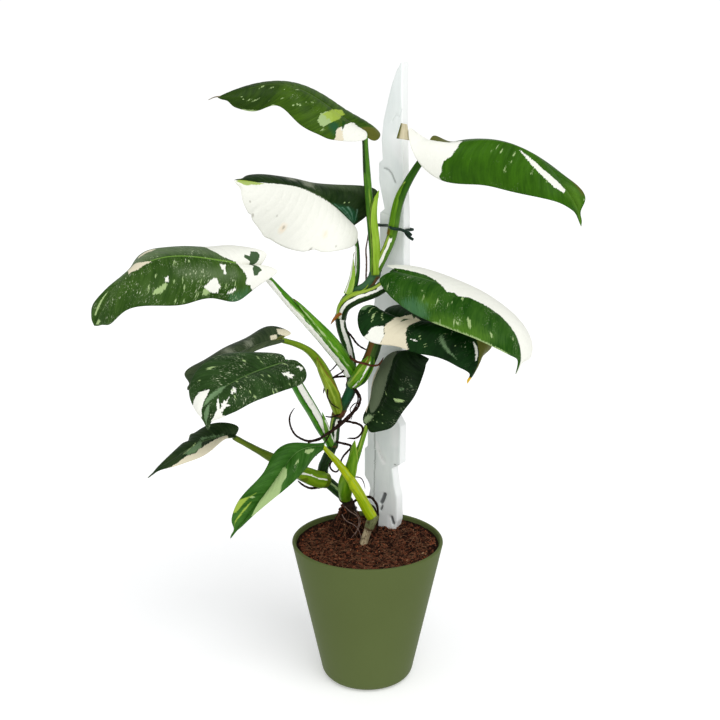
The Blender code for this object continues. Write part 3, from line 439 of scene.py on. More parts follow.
        right=((4, 6, 328), (-4.5, 2, 327), (-8.5, -5.5, 317), (-2, -12.5, 303.5), (11.5, -16.5, 299.5),
               (24, -18.5, 298), (36, -21, 294), (52, -27, 292), (66.5, -33, 287.5), (74, -34.5, 282)),
               bulge=(3, 4), drip=0.7,
        tone=((2, 30, 2), (16, 52, 12)), flecks=0.4, rib=((60, 90, 40), 0, 0.2, 0.3, 0.2), marks=(
            ("mint", ((0.28, -0.73), (0.22, -0.64), (0.185, -0.5), (0.225, -0.6))),
            ("mint", ((0.2, -0.735), (0.15, -0.68), (0.13, -0.6), (0.155, -0.65))),
            ("mint", ((0.29, -0.49), (0.24, -0.465), (0.19, -0.36), (0.235, -0.44))),
            ("white", ((0.32, -1.2), (0.33, -0.93), (0.305, -0.78), (0.31, -0.65), (0.33, -0.56),
                       (0.4, -0.76), (0.46, -1.2))),
            ("cream", ((0.33, -0.56), (0.3, -0.36), (0.22, 0.02), (0.3, 0.18), (0.4, -0.02), (0.42, -0.32),
                       (0.48, -0.59), (0.55, -0.84), (0.59, -0.97), (0.6, -1.2), (0.46, -1.2), (0.4, -0.76))),
            # A grey-green painted highlight along the edge of the lobe
            ("sage", ((0.07, -0.95), (0.12, -0.78), (0.17, -0.84), (0.16, -1.1), (0.08, -1.1))),
            ("green", ((0.345, -0.3), (0.3, -0.1), (0.3, 0.02), (0.325, -0.06))),
            ("green", ((0.335, 0.02), (0.3, 0.16), (0.31, 0.22), (0.335, 0.12))),
            ("sage", ((0.63, -0.33), (0.665, -0.4), (0.71, -0.52), (0.768, -0.63), (0.84, -0.71),
                      (0.768, -0.7), (0.69, -0.56), (0.65, -0.44))),
            ("white", ((0.545, -0.715), (0.552, -0.698), (0.57, -0.692), (0.582, -0.705), (0.576, -0.724),
                       (0.558, -0.728))),
            ("white", ((0.765, -0.02), (0.79, 0.04), (0.83, 0.03), (0.87, -0.05), (0.87, -0.11),
                       (0.815, -0.06))),
            ("lobe", ((0.76, 0.12), (0.86, 0.06), (0.95, 0.1), (0.95, 1.1), (0.7, 1.1))),
            ("gold", ((0.965, -1.1), (0.965, 1.1), (1.1, 1.1), (1.1, -1.1)))),
        spots=(("mint", 0.63, -0.7, 0.5), ("mint", 0.645, -0.76, 0.45), ("mint", 0.56, -0.57, 0.45),
               ("mint", 0.58, -0.63, 0.45), ("mint", 0.64, -0.28, 0.4), ("mint", 0.75, -0.42, 0.3)),
        slant=-30, dashes=()),
    "centre": dict(
        midrib=((-1, 12, 223), (11, 14, 242), (19, 16, 264), (29, 14, 285), (51, 4, 283)),
        left=((-4, 13, 227), (0, 20, 238), (5, 24, 261), (18, 25, 282)),
        right=((1, 9.5, 220), (10.5, 1, 221), (19.5, -2.5, 225), (27.5, -7, 237.5), (39, -6, 254),
               (47, 5, 271)),
        bulge=(2, 4), tone=((8, 26, 8), (24, 46, 18)), flecks=0.45, drip=0.12,
        rib=((40, 60, 30), 0, 0.1, 0.3, 0.1), marks=(
            ("slate", ((0.22, 0.08), (0.31, 0.03), (0.44, 0.07), (0.55, 0.15), (0.67, 0.18), (0.75, 0.5),
                       (0.7, 1.2), (0.3, 1.2), (0.2, 0.8), (0.18, 0.24))),
            ("cream", ((0.12, 0.75), (0.2, 0.86), (0.3, 0.93), (0.42, 0.88), (0.5, 0.9), (0.5, 1.2),
                       (0.1, 1.2))),
            ("mint", ((0.5, -0.56), (0.51, -0.6), (0.55, -0.82), (0.55, -0.87), (0.52, -0.82),
                      (0.49, -0.66))),
            ("mottle", ((0.03, 0.8), (0.13, 0.4), (0.19, 0.0), (0.14, -0.2), (0.02, 0.2)))),
        spots=(("mint", 0.28, -0.22, 0.5), ("mint", 0.2, -0.5, 0.45), ("mint", 0.3, -0.45, 0.4),
               ("mint", 0.22, -0.1, 0.5), ("mint", 0.17, -0.3, 0.4), ("mint", 0.24, -0.7, 0.4),
               ("sage", 0.62, -0.66, 0.5), ("sage", 0.6, -0.6, 0.45), ("sage", 0.69, -0.8, 0.45)),
        dashes=((0.46, -0.1),)),
}

# What all blades share
BLADE_THICKNESS = 0.55
EDGE_THINNING = 0.55           # share of the thickness that the margins lack
ROOT_HALF_WIDTH = 3
TIP_HALF_WIDTH = 0.5
DRIP = 0.55
DRIP_AT = 0.955                # as t
DRIP_LENGTH = 0.035
SIDE_VEINS = 19
VEIN_SWEEP = 0.08              # how far towards the tip a side vein has run at the margin, as t
VEIN_DEPTH = 0.22
VEIN_WIDTH = 0.13              # as a share of the space between veins
WAVE_HEIGHT = 0.7
WAVE_LENGTH = 46
FOLD_DEPTH = 0.45
FOLD_WIDTH = 1.0
KEEL_HEIGHT = 1.1
KEEL_WIDTH = 1.3
RIB = ((110, 140, 70), 0, 1, 0.4, 0.3)    # for a leaf that gives none
MIDRIB_STEPS = 400
LEAF_ROWS = 220
LEAF_COLUMNS = 40              # to each side of the midrib
CROWDING = 1.35                # rows lie closer near the base, and columns near the midrib

# What all stalks and sheaths share
STALK_RINGS = 110
STALK_SIDES = 28
KNEE_SWELL = 0.12              # the knee is the slight swelling under the leaf
KNEE_AT = 0.97
KNEE_LENGTH = 0.04
GROOVE_DEPTH = 0.14
GROOVE_SIDE = 80               # degrees from the front
GROOVE_WIDTH = 0.4             # radians
SHEATH_STEPS = 71
SHEATH_COLUMNS = 19
SHEATH_FOOT = 0.02
SHEATH_THICKNESS = 0.45
FAR = 9.0                      # distances from a mark's edge are cut off here

# Aerial roots: nodes of the solids, then finer ones beside them; route and radius
AERIAL_ROOTS = (
    (((-14, 25, 255), (-6, 15, 244), (-9, 12, 238), (-16, 8, 231), (-28, 0, 223), (-39, -3, 217),
      (-49, -4, 214), (-60, -5, 219), (-65, -5, 229), (-65, -4, 236), (-61, -2, 242)), 0.95),
    (((-27, 24, 222), (-14, 9, 227), (-4, 6, 222), (-6, 5, 217), (-17, 13, 211)), 0.9),
    (((-29, 24, 206), (-21, 15, 206), (-14, 12, 204), (-20, 10, 197), (-23, 11, 187)), 0.9),
    (((-15, 25, 281), (-9, 7, 280), (2, 6, 277), (9, 8, 277), (13, 12, 282)), 0.9),
    (((-18, 25, 303), (-12, 18, 297), (-7, 17, 292), (0, 18, 287)), 0.8),
    (((-2, 25, 341), (-1, 30, 350), (-1, 32, 366), (0, 31, 385)), 0.7),
    (((-16, 27, 262), (-26, 26, 262), (-35, 20, 258), (-38, 16, 250)), 0.8),
    (((-31, 28, 164), (-42, 18, 165), (-52, 10, 168), (-60, 6, 175)), 1.0),
    (((-15, 29, 144), (-4, 26, 153), (5, 24, 152), (9, 24, 143), (9, 24, 130), (9, 24, 118.5)), 1.0),
)

# Finer roots and hairs, without solids of their own; route and radius
FINE_ROOTS = (
    (((-22, 24, 277), (-29.4, 16, 272.3), (-33.6, 14, 268.5)), 0.55),
    (((-17, 22, 275), (-21.8, 16, 268.8), (-28.5, 12, 265.5), (-32.7, 10, 259), (-33.6, 10, 247.7),
      (-29.4, 12, 241), (-24, 17, 236)), 0.6),
    (((-5.6, 18, 241.4), (-12.5, 12, 241.3), (-15, 10, 237.4), (-13.3, 10, 232.1), (-14.2, 11, 227.7)), 0.4),
    (((-28, 22, 190), (-32.6, 18, 184.5), (-28.1, 14, 180.3), (-24, 13, 184), (-22, 14, 190)), 0.7),
    (((-18, 22, 172), (-12.6, 20, 173.5), (-6.5, 19, 173.6), (-2.1, 18, 163.3)), 0.45),
    (((-6, 22, 153), (-1.2, 20, 150.5), (6.7, 18, 145.6), (8.4, 16, 139), (7.5, 14, 134)), 0.8),
    (((-24, 20, 231), (-30, 16, 229), (-36, 14, 231)), 0.7),
    (((-51.2, 12, 207.4), (-40.8, 8, 212.5), (-27.8, 4, 223.3), (-19.3, 8, 229.5), (-10.8, 12, 238.3),
      (-8.2, 14, 246), (-13, 20, 254)), 0.8),
    (((-27, 24, 225), (-34, 4, 214), (-40, -6, 208), (-43, -8, 202)), 0.5),
    (((-20, 20, 146), (-14, 15, 143), (-9, 14, 139), (-8, 12, 131), (-11, 9, 124)), 0.35),
    (((-12, 20, 142), (-6, 16, 135), (-9, 10, 128), (-14, 8, 122)), 0.3),
    (((-22, 17, 140), (-17, 12, 135), (-10, 10, 132), (-6, 6, 122)), 0.3),
)
ROOT_TAPER = ((0, 1.15), (0.5, 1.15), (0.92, 0.8), (1, 0.35))     # share of the length, of the radius
# The dried thread at the tip of the top left leaf, a dry scale on the stem and the corners of the lobe
TIP_THREAD = ((-113, -19.5, 493.6), (-117, -20.5, 493.2), (-122, -21.5, 491))
BRACT = ((-31, 16, 310), (-26.5, 14, 316.5), (-21, 14, 320.5), (-15, 15, 323))
CURLED_LOBE = ((22.8, 15, 462.2), (26.4, 17, 474.2), (31.5, 17, 473.2), (33.5, 15, 460.6))

# Wire tie in board coordinates: across, behind the front, height
TIE_RADIUS = 1.25
TIE_ROUTE = ((22, -9, 384.5), (18, -8, 386.5), (14.8, -9.5, 388), (14.2, -13, 389), (9.5, -17.8, 390),
             (4.2, -13.5, 391), (-4, -6, 391), (-13, -2, 390.5), (-14.6, 0, 390.5), (-14.5, 6, 390),
             (-14.5, 12, 389.5), (-13, 13.6, 389.2), (-2, 13.5, 388), (9.5, 13.6, 387),
             (12.2, 12.6, 386.8), (12.3, 6, 387), (12.4, 0, 387), (14, -3.5, 386), (18, -5, 382.5),
             (22, -5.5, 380.5))

# Camera: where it stands and how far it looks down, with a 50 mm lens on a 36 mm square picture
CAMERA_PLACE = (-6.5, -808, 468)
CAMERA_DOWN = 12.9
CAMERA_LENS = 50
CAMERA_SENSOR = 36

# Lamps: degrees to the right of the front, degrees above the floor, power, and how wide the lamp looks
LAMPS = (("key_lamp", 32, 48, 1.5, 50), ("fill_lamp", -35, 30, 0.7, 80))
AMBIENT = 0.5
BACKDROP = 1.05
FLOOR_GLOW = 0.3
FLOOR_SHADE = 0.86
FLOOR_REACH = 8.0               # metres, as the next
FLOOR_DROP = 0.0003


def tint(red, green, blue):
    """A colour as it looks, 0 to 255, as the linear values that shaders take."""
    seen = np.array((red, green, blue)) / 255
    return (*np.where(seen <= 0.04045, seen / 12.92, ((seen + 0.055) / 1.055)**2.4), 1)


# Paints for marks on leaves and stalks: colour, softness of the edge and its raggedness in millimetres, and
# how far they cover what lies below them
PAINTS = {
    # The first three kinds are painted light: zones of painted shade, zones of painted light and a pale
    # painted sheen
    "painted_shade": (tint(20, 38, 14), 5.0, 3.0, 0.55),
    "painted_light": (tint(104, 150, 44), 5.0, 3.0, 0.5),
    "sheen_and_fleck_haze": (tint(136, 152, 118), 3.5, 3.0, 0.32),
    "olive": (tint(104, 92, 40), 2.5, 2.0, 0.6),
    "slate": (tint(100, 112, 86), 0.4, 1.0, 0.85),
    # A grey painted sheen
    "grey": (tint(150, 154, 134), 2.0, 2.5, 0.75),
    "sage": (tint(112, 142, 100), 0.6, 1.2, 0.9),
    # A bluish green; on the leaves, a painted bluish sheen
    "teal": (tint(72, 116, 78), 2.0, 4.0, 0.7),
    "pine": (tint(26, 80, 50), 1.6, 1.2, 0.85),
    # Painted streaks of sheen
    "sheen_ray": (tint(130, 172, 148), 0.4, 0.5, 0.5),
    "white": (tint(240, 240, 230), 0.12, 0.9, 1.0),
    "cream": (tint(226, 217, 190), 0.15, 0.9, 1.0),
    "mint": (tint(160, 184, 124), 0.2, 1.0, 1.0),
    "lime": (tint(158, 182, 70), 0.4, 0.8, 0.9),
    "gold": (tint(222, 180, 40), 0.4, 0.8, 1.0),
    "green": (tint(28, 70, 10), 0.15, 0.6, 0.95),
    "stain": (tint(246, 224, 190), 1.2, 1.2, 0.55),
    "speck": (tint(120, 116, 96), 0.5, 0.3, 0.6),
    "lobe": (tint(92, 96, 36), 0.5, 1.0, 1.0),
    "mottle": (tint(152, 174, 128), 0.3, 4.0, 0.8),
    # Dark lines; along stalks' sides and where sheaths meet stalks, painted shade
    "dark": (tint(22, 40, 14), 0.3, 0.3, 0.8),
    "husk": (tint(112, 66, 28), 0.4, 0.5, 0.75),
}
FLECK = tint(204, 216, 176)


def unit(vectors):
    """Vectors brought to length 1."""
    return vectors / np.maximum(np.linalg.norm(vectors, axis=-1, keepdims=True), 1e-9)


def run_lengths(line):
    """Lengths of the straight runs between a line's points."""
    return np.linalg.norm(np.diff(line, axis=0), axis=1)


def travel_along(line):
    """Distance along a line at each of its points."""
    return np.concatenate([[0], np.cumsum(run_lengths(line))])


def natural_spline(points, count):
    """Evenly spaced parameters along a natural cubic spline through points, knots by chord length."""
    points = np.array(points, float)
    last = len(points) - 1
    knots = travel_along(points)
    step = np.diff(knots)
    system = np.eye(last + 1)
    bend = np.zeros_like(points)
    slope = np.diff(points, axis=0) / step[:, None]
    for i in range(1, last):
        system[i, i - 1:i + 2] = step[i - 1], 2 * (step[i - 1] + step[i]), step[i]
        bend[i] = 6 * (slope[i] - slope[i - 1])
    second = np.linalg.solve(system, bend)
    at = np.linspace(0, knots[-1], count)
    i = np.clip(np.searchsorted(knots, at, side="right") - 1, 0, last - 1)
    width = step[i][:, None]
    before = (at - knots[i])[:, None]
    after = width - before
    return ((second[i] * after**3 + second[i + 1] * before**3) / (6 * width)
            + (points[i + 1] / width - second[i + 1] * width / 6) * before
            + (points[i] / width - second[i] * width / 6) * after)


def lumps(points, size, seed):
    """Smooth unevenness from -1 to 1: the mean of sine waves about size long in seeded directions."""
    count = 9
    draw = np.random.default_rng(seed)
    waves = unit(draw.normal(size=(count, 3))) * (2 * math.pi / size) * draw.uniform(0.6, 1.7, (count, 1))
    phases = draw.uniform(0, 2 * math.pi, count)
    return np.sin(points @ waves.T + phases).mean(axis=-1) * 2


# Mesh makers

def mesh_piece(name, points, faces, looks, corner_uv=None, fields=None, slots=None, weld=False):
    """A piece from points in millimetres and faces; corner_uv holds a place on the pattern for each face
    corner, fields a number for each point, and slots each face's material."""
    mesh = bpy.data.meshes.new(name)
    mesh.from_pydata(points.reshape(-1, 3) * MM, [], faces)
    for look in looks:
        mesh.materials.append(look)
    if slots is not None:
        mesh.polygons.foreach_set("material_index", np.asarray(slots, np.int32))
    if corner_uv is not None:
        layer = mesh.uv_layers.new(name="pattern")
        layer.data.foreach_set("uv", np.asarray(corner_uv, np.float32).ravel())
    for label, values in (fields or {}).items():
        layer = mesh.attributes.new(label, "FLOAT", "POINT")
        layer.data.foreach_set("value", np.asarray(values, np.float32).ravel())
    mesh.shade_smooth()
    if weld:
        form = bmesh.new()
        form.from_mesh(mesh)
        bmesh.ops.remove_doubles(form, verts=form.verts, dist=1e-7)
        bmesh.ops.dissolve_degenerate(form, edges=form.edges, dist=1e-8)
        form.to_mesh(mesh)
        form.free()
    mesh.update()
    piece = bpy.data.objects.new(name, mesh)
    bpy.context.scene.collection.objects.link(piece)
    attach(piece, "root")
    return piece


def grid_faces(rows, columns, around=False):
    """Quads of a grid of points; around closes each row into a ring."""
    i, j = np.meshgrid(np.arange(rows - 1), np.arange(columns if around else columns - 1), indexing="ij")
    after = (j + 1) % columns
    return np.stack([i * columns + j, i * columns + after, (i + 1) * columns + after, (i + 1) * columns + j],
                    -1).reshape(-1, 4)


def grid_uv(u, v):
    """Corner places for the quads of a grid whose u and v are given for one column more than a ring has."""
    corners = [np.stack([u[a, b], v[a, b]], -1) for a, b in (
        (np.s_[:-1], np.s_[:-1]), (np.s_[:-1], np.s_[1:]), (np.s_[1:], np.s_[1:]), (np.s_[1:], np.s_[:-1]))]
    return np.stack(corners, 2).reshape(-1, 2)


def repeated(faces, count, points):
    """The faces of one shape for count shapes, each with as many points."""
    return (faces[None] + (np.arange(count) * points)[:, None, None]).reshape(-1, 4)


def with_ends(rows):
    """Rows with the first and the last one doubled, for a tube's closed ends."""
    return np.concatenate([rows[:1], rows, rows[-1:]])


def closed_tube(rings, first, last):
    """Rings between two more that are drawn in to one point each."""
    one = rings[:1].shape
    return np.concatenate([np.broadcast_to(first, one), rings, np.broadcast_to(last, one)])


def forward(tangent):
    """The direction towards the front, square to each tangent."""
    return unit(np.array((0.0, -1.0, 0.0)) + tangent * tangent[:, 1:2])


def tube_points(line, radius, sides):
    """Rings about a line: P = C + r (cos a F + sin a S), with F the forward direction square to the line,
    S the direction to its right and a the angle from the front. radius has a row for each ring."""
    tangent = unit(np.gradient(line, axis=0))
    front = forward(tangent)
    aside = np.cross(tangent, front)
    angle = np.linspace(0, 2 * math.pi, sides, endpoint=False)[None, :, None]
    radius = np.broadcast_to(np.atleast_2d(radius.T).T, (len(line), sides))[:, :, None]
    return line[:, None] + radius * (np.cos(angle) * front[:, None] + np.sin(angle) * aside[:, None])


def tube_piece(name, line, radius, looks, fields=None):
    """A closed tube along line, with a row of radii for each ring; its pattern runs along it in
    centimetres and round it in turns."""
    sides = radius.shape[1]
    rings = closed_tube(tube_points(line, radius, sides), line[0], line[-1])
    u, v = np.meshgrid(with_ends(travel_along(line) / 10), np.linspace(0, 1, sides + 1), indexing="ij")
    capped = {label: with_ends(values) for label, values in (fields or {}).items()}
    faces = grid_faces(len(rings), sides, True)
    return mesh_piece(name, rings, faces, looks, grid_uv(u, v), capped, weld=True)


def sheet_piece(name, top, bottom, looks, u, v, fields=None):
    """A closed thin sheet between two grids of points; the top takes the first look, the rest the second."""
    rows, columns = top.shape[:2]
    count = rows * columns
    quads = grid_faces(rows, columns)
    under = quads + count
    index = np.arange(count).reshape(rows, columns)

    def rim(edge):
        return np.stack([edge[:-1], edge[1:], edge[1:] + count, edge[:-1] + count], -1)

    rims = np.concatenate([rim(index[:, 0]), rim(index[::-1, -1]), rim(index[-1]), rim(index[0, ::-1])])
    faces = np.concatenate([quads[:, ::-1], under, rims[:, ::-1]])
    places = np.stack([np.tile(u.ravel(), 2), np.tile(v.ravel(), 2)], -1)
    slots = np.concatenate([np.zeros(len(quads)), np.ones(len(faces) - len(quads))])
    doubled = {label: np.tile(values.ravel(), 2) for label, values in (fields or {}).items()}
    return mesh_piece(name, np.concatenate([top.reshape(-1, 3), bottom.reshape(-1, 3)]), faces, looks,
                      places[faces].reshape(-1, 2), doubled, slots)


# Material makers

def add(tree, kind, settings=None, **inputs):
    """One shader node; inputs are numbers or other nodes' outputs, named with _ for a space."""
    node = tree.nodes.new("ShaderNode" + kind)
    for label, value in (settings or {}).items():
        setattr(node, label, value)
    for label, value in inputs.items():
        socket = node.inputs[int(label[1:]) if label[1:].isdigit() else label.replace("_", " ")]
        if isinstance(value, bpy.types.NodeSocket):
            tree.links.new(value, socket)
        else:
            socket.default_value = value
    return node


def new_look(name, roughness, specular):
    """A material, its nodes and its shader."""
    made = bpy.data.materials.new(name)
    made.use_nodes = True
    shader = made.node_tree.nodes["Principled BSDF"]
    shader.inputs["Roughness"].default_value = roughness
    shader.inputs["Specular IOR Level"].default_value = specular
    return made, made.node_tree, shader


def place(tree, kind, scale=(1, 1, 1)):
    """Object or UV coordinates, stretched by scale."""
    source = add(tree, "TexCoord").outputs[kind]
    return add(tree, "Mapping", Vector=source, Scale=scale).outputs[0]


def noise(tree, vector, scale, detail, roughness=0.55):
    """A noise texture's value, from 0 to 1."""
    made = add(tree, "TexNoise", Vector=vector, Scale=scale, Detail=detail, Roughness=roughness)
    return made.outputs["Fac"]


def body_noise(tree, scale, detail, roughness=0.55):
    """Noise in the piece's own space."""
    return noise(tree, place(tree, "Object"), scale, detail, roughness)


def grain_noise(tree, along, across, detail, roughness=0.55):
    """Noise in the piece's own pattern, finer or coarser along it than across it."""
    return noise(tree, place(tree, "UV", (along, across, 1)), 1.0, detail, roughness)


def cells(tree, along, across):
    """Distance to the nearest of points scattered over the piece's own pattern."""
    vector = place(tree, "UV", (along, across, 1))
    made = add(tree, "TexVoronoi", {"feature": "F1"}, Vector=vector, Scale=1.0, Randomness=1.0)
    return made.outputs["Distance"]


def span(tree, value, low, high, start=0.0, end=1.0):
    """Value between low and high, brought to between start and end."""
    return add(tree, "MapRange", _0=value, _1=low, _2=high, _3=start, _4=end).outputs[0]


def ragged_edge(tree, along, across, detail, roughness=0.55):
    """Unevenness from -1 to 1 for the edges of marks."""
    return span(tree, grain_noise(tree, along, across, detail, roughness), 0.25, 0.75, -1, 1)


def sums(tree, kind, first, second=0.0, third=0.0):
    """The result of one Math node."""
    return add(tree, "Math", {"operation": kind}, _0=first, _1=second, _2=third).outputs[0]


def blend(tree, amount, first, second):
    """The first colour where amount is 0 and the second where it is 1."""
    return add(tree, "Mix", {"data_type": "RGBA"}, _0=amount, _6=first, _7=second).outputs[2]


def field(tree, label):
    """A number that the mesh holds for each of its points."""
    return add(tree, "Attribute", {"attribute_name": label}).outputs["Fac"]


def finish_look(tree, shader, colour, height, strength, distance, roughness=None):
    """Connects the colour and the bump, and the roughness where it varies."""
    tree.links.new(colour, shader.inputs["Base Color"])
    bump = add(tree, "Bump", Height=height, Strength=strength, Distance=distance)
    tree.links.new(bump.outputs[0], shader.inputs["Normal"])
    if roughness is not None:
        tree.links.new(roughness, shader.inputs["Roughness"])


def paint_over(tree, colour, kinds, ragged, dull=None):
    """Lays each kind of mark over colour: its field is the distance inside the mark's edge, in mm, to
    which ragged, from -1 to 1, adds unevenness. dull is (share kept of the paint, colour for the rest)."""
    for kind in kinds:
        shade, soft, rough, cover = PAINTS[kind]
        if dull:
            shade = (*(np.array(shade[:3]) * dull[0] + np.array(dull[1]) * (1 - dull[0])), 1)
        edge = sums(tree, "MULTIPLY_ADD", ragged, rough, field(tree, kind))
        colour = blend(tree, span(tree, edge, -soft, soft, 0, cover), colour, shade)
    return colour


def leaf_look(name, shape, kinds, under=False):
    """Leaf skin: streaks and side veins follow the leaf's own pattern, whose u runs along the midrib
    and v across it, in centimetres. The underside is paler and more matt."""
    made, tree, shader = new_look(name, 0.45 if under else 0.40, 0.07)
    deep, light = (tint(*shade) for shade in shape["tone"])
    if under:
        deep, light = ((*(np.array(c[:3]) * 0.7 + np.array((0.05, 0.075, 0.035))), 1) for c in (deep, light))
    streak = grain_noise(tree, 7, 1.1, 4)
    band = grain_noise(tree, 2.2, 0.45, 3)
    cloud = body_noise(tree, 38, 3)
    amount = sums(tree, "MULTIPLY_ADD", streak, 0.7, sums(tree, "ADD", band, cloud))
    colour = blend(tree, span(tree, amount, 1.12, 1.6), deep, light)
    fine = grain_noise(tree, 30, 5, 3, 0.7)
    ragged = ragged_edge(tree, 12, 2.6, 4, 0.65)
    # Soft zones go first; among them are painted shade, painted light and painted sheens
    zones = [kind for kind in kinds if PAINTS[kind][1] > 1.5]
    colour = paint_over(tree, colour, zones, ragged)
    grained = grain_noise(tree, 18, 2.4, 4, 0.7)
    colour = blend(tree, span(tree, grained, 0.48, 0.72, 0, 0.4), colour, deep)
    shade, *_, cover = shape.get("rib", RIB)
    middle = span(tree, field(tree, "rib"), -0.25, 0.35, 0, cover if not under else 0.8)
    colour = blend(tree, middle, colour, tint(*shade) if not under else tint(150, 160, 110))
    density = shape["flecks"]
    flecks = cells(tree, 6.5, 2.8)
    patchy = body_noise(tree, 70, 3)
    sparse = span(tree, patchy, 0.76 - 0.34 * density, 0.84 - 0.34 * density)
    small = sums(tree, "MULTIPLY", span(tree, flecks, 0.10, 0.24, 1, 0), sparse)
    dusty = span(tree, patchy, 0.66 - 0.3 * density, 0.8 - 0.3 * density)
    sheen_and_fleck_haze = sums(tree, "MULTIPLY", span(tree, cells(tree, 15, 7), 0.14, 0.3, 0.4, 0), dusty)
    speckled = sums(tree, "MAXIMUM", sums(tree, "MULTIPLY", small, 0.85), sheen_and_fleck_haze)
    colour = blend(tree, speckled, colour, FLECK)
    colour = paint_over(tree, colour, [kind for kind in kinds if kind not in zones], ragged,
                        (0.86, (0.10, 0.13, 0.06)) if under else None)
    colour = blend(tree, span(tree, fine, 0.35, 0.8, 0, 0.10), colour, (0.02, 0.03, 0.01, 1))
    height = sums(tree, "ADD", sums(tree, "MULTIPLY", fine, 0.5), body_noise(tree, 900, 2))
    finish_look(tree, shader, colour, height, 0.25, 0.0003,
                span(tree, cloud, 0.3, 0.7, 0.32, 0.46) if not under else None)
    return made


def stalk_look(name, tone, kinds):
    """Stalk skin: fine lengthwise streaks over two greens, with stripes painted on."""
    made, tree, shader = new_look(name, 0.38, 0.12)
    deep, light = (tint(*shade) for shade in tone)
    streak = grain_noise(tree, 0.45, 9, 4)
    colour = blend(tree, span(tree, streak, 0.36, 0.66), deep, light)
    ragged = ragged_edge(tree, 1.1, 12, 3)
    colour = paint_over(tree, colour, kinds, ragged)
    patches = span(tree, body_noise(tree, 130, 3), 0.64, 0.74, 0, 0.3)
    colour = blend(tree, patches, colour, tint(104, 74, 34))
    height = grain_noise(tree, 2, 30, 3)
    finish_look(tree, shader, colour, height, 0.3, 0.0004)
    return made


def main_stem_look(kinds):
    """Dark green with its stripes painted on; brown and corky round the nodes; dark brown low down, darkened
    partly as painted shade.
    """
    made, tree, shader = new_look("stem_skin", 0.45, 0.12)
    streak = grain_noise(tree, 0.28, 6, 3)
    colour = blend(tree, span(tree, streak, 0.38, 0.64), tint(18, 36, 16), tint(50, 88, 34))
    ragged = ragged_edge(tree, 0.9, 10, 3)
    colour = paint_over(tree, colour, kinds, ragged)
    cork = body_noise(tree, 240, 5, 0.7)
    brown = blend(tree, span(tree, cork, 0.35, 0.65), tint(38, 26, 16), tint(116, 78, 46))
    near = sums(tree, "ADD", field(tree, "node"), sums(tree, "MULTIPLY", cork, 0.7))
    colour = blend(tree, span(tree, near, 0.85, 1.05), colour, brown)
    # Low down, the stem's own brown darkened towards black as painted shade
    low_brown_and_shade = blend(tree, span(tree, cork, 0.4, 0.7), tint(18, 12, 8), tint(62, 42, 28))
    colour = blend(tree, span(tree, field(tree, "low"), 0.3, 1.0), colour, low_brown_and_shade)
    height = sums(tree, "ADD", cork, grain_noise(tree, 1.5, 20, 3))
    finish_look(tree, shader, colour, height, 0.5, 0.0008, span(tree, near, 0.6, 1.1, 0.38, 0.8))
    return made


def root_look(name, dark, light):
    """Dry skin: two browns in a fine rough grain."""
    made, tree, shader = new_look(name, 0.75, 0.08)
    grain = body_noise(tree, 420, 5, 0.7)
    colour = blend(tree, span(tree, grain, 0.35, 0.7), dark, light)
    finish_look(tree, shader, colour, grain, 0.7, 0.0006)
    return made


def cane_look():
    """Dry bark: olive grey above its node, tan below it."""
    made, tree, shader = new_look("cane_bark", 0.7, 0.1)
    streak = grain_noise(tree, 0.8, 6, 5, 0.65)
    upper = blend(tree, span(tree, streak, 0.35, 0.62), tint(78, 84, 52), tint(136, 140, 96))
    lower = blend(tree, span(tree, streak, 0.35, 0.62), tint(120, 104, 76), tint(196, 180, 146))
    colour = blend(tree, field(tree, "upper"), lower, upper)
    blotch = body_noise(tree, 260, 3)
    colour = blend(tree, span(tree, blotch, 0.56, 0.66, 0, 0.8), colour, tint(66, 50, 32))
    colour = blend(tree, field(tree, "joint"), colour, tint(74, 52, 34))
    finish_look(tree, shader, colour, sums(tree, "ADD", streak, blotch), 0.6, 0.0007)
    return made


def soil_look():
    """Damp potting mix: near black with brown grains."""
    made, tree, shader = new_look("soil_mix", 0.95, 0.05)
    coarse = body_noise(tree, 360, 4, 0.7)
    fine = body_noise(tree, 1300, 3, 0.7)
    colour = blend(tree, span(tree, coarse, 0.38, 0.66), tint(12, 6, 5), tint(54, 31, 22))
    colour = blend(tree, span(tree, fine, 0.55, 0.8, 0, 0.6), colour, tint(100, 62, 44))
    finish_look(tree, shader, colour, sums(tree, "ADD", coarse, fine), 0.9, 0.002)
    return made


def bark_look(name, dark, light):
    """Bark and coir pieces; each piece has its own shade in the field called shade."""
    made, tree, shader = new_look(name, 0.9, 0.05)
    grain = body_noise(tree, 900, 4, 0.7)
    amount = sums(tree, "MULTIPLY_ADD", grain, 0.5, sums(tree, "MULTIPLY", field(tree, "shade"), 0.8))
    colour = blend(tree, span(tree, amount, 0.15, 0.95), dark, light)
    finish_look(tree, shader, colour, grain, 0.6, 0.0008)
    return made


def pot_look():
    """Satin moulded plastic: nearly even olive green with a very fine grain."""
    made, tree, shader = new_look("pot_plastic", 0.55, 0.06)
    cloud = body_noise(tree, 9, 2)
    grain = body_noise(tree, 2600, 2)
    low = span(tree, cloud, 0.3, 0.7)
    colour = blend(tree, low, tint(83, 94, 52), tint(87, 99, 56))
    colour = blend(tree, span(tree, grain, 0.5, 0.8, 0, 0.1), colour, tint(112, 122, 78))
    finish_look(tree, shader, colour, grain, 0.12, 0.0002, span(tree, cloud, 0.3, 0.7, 0.44, 0.52))
    return made


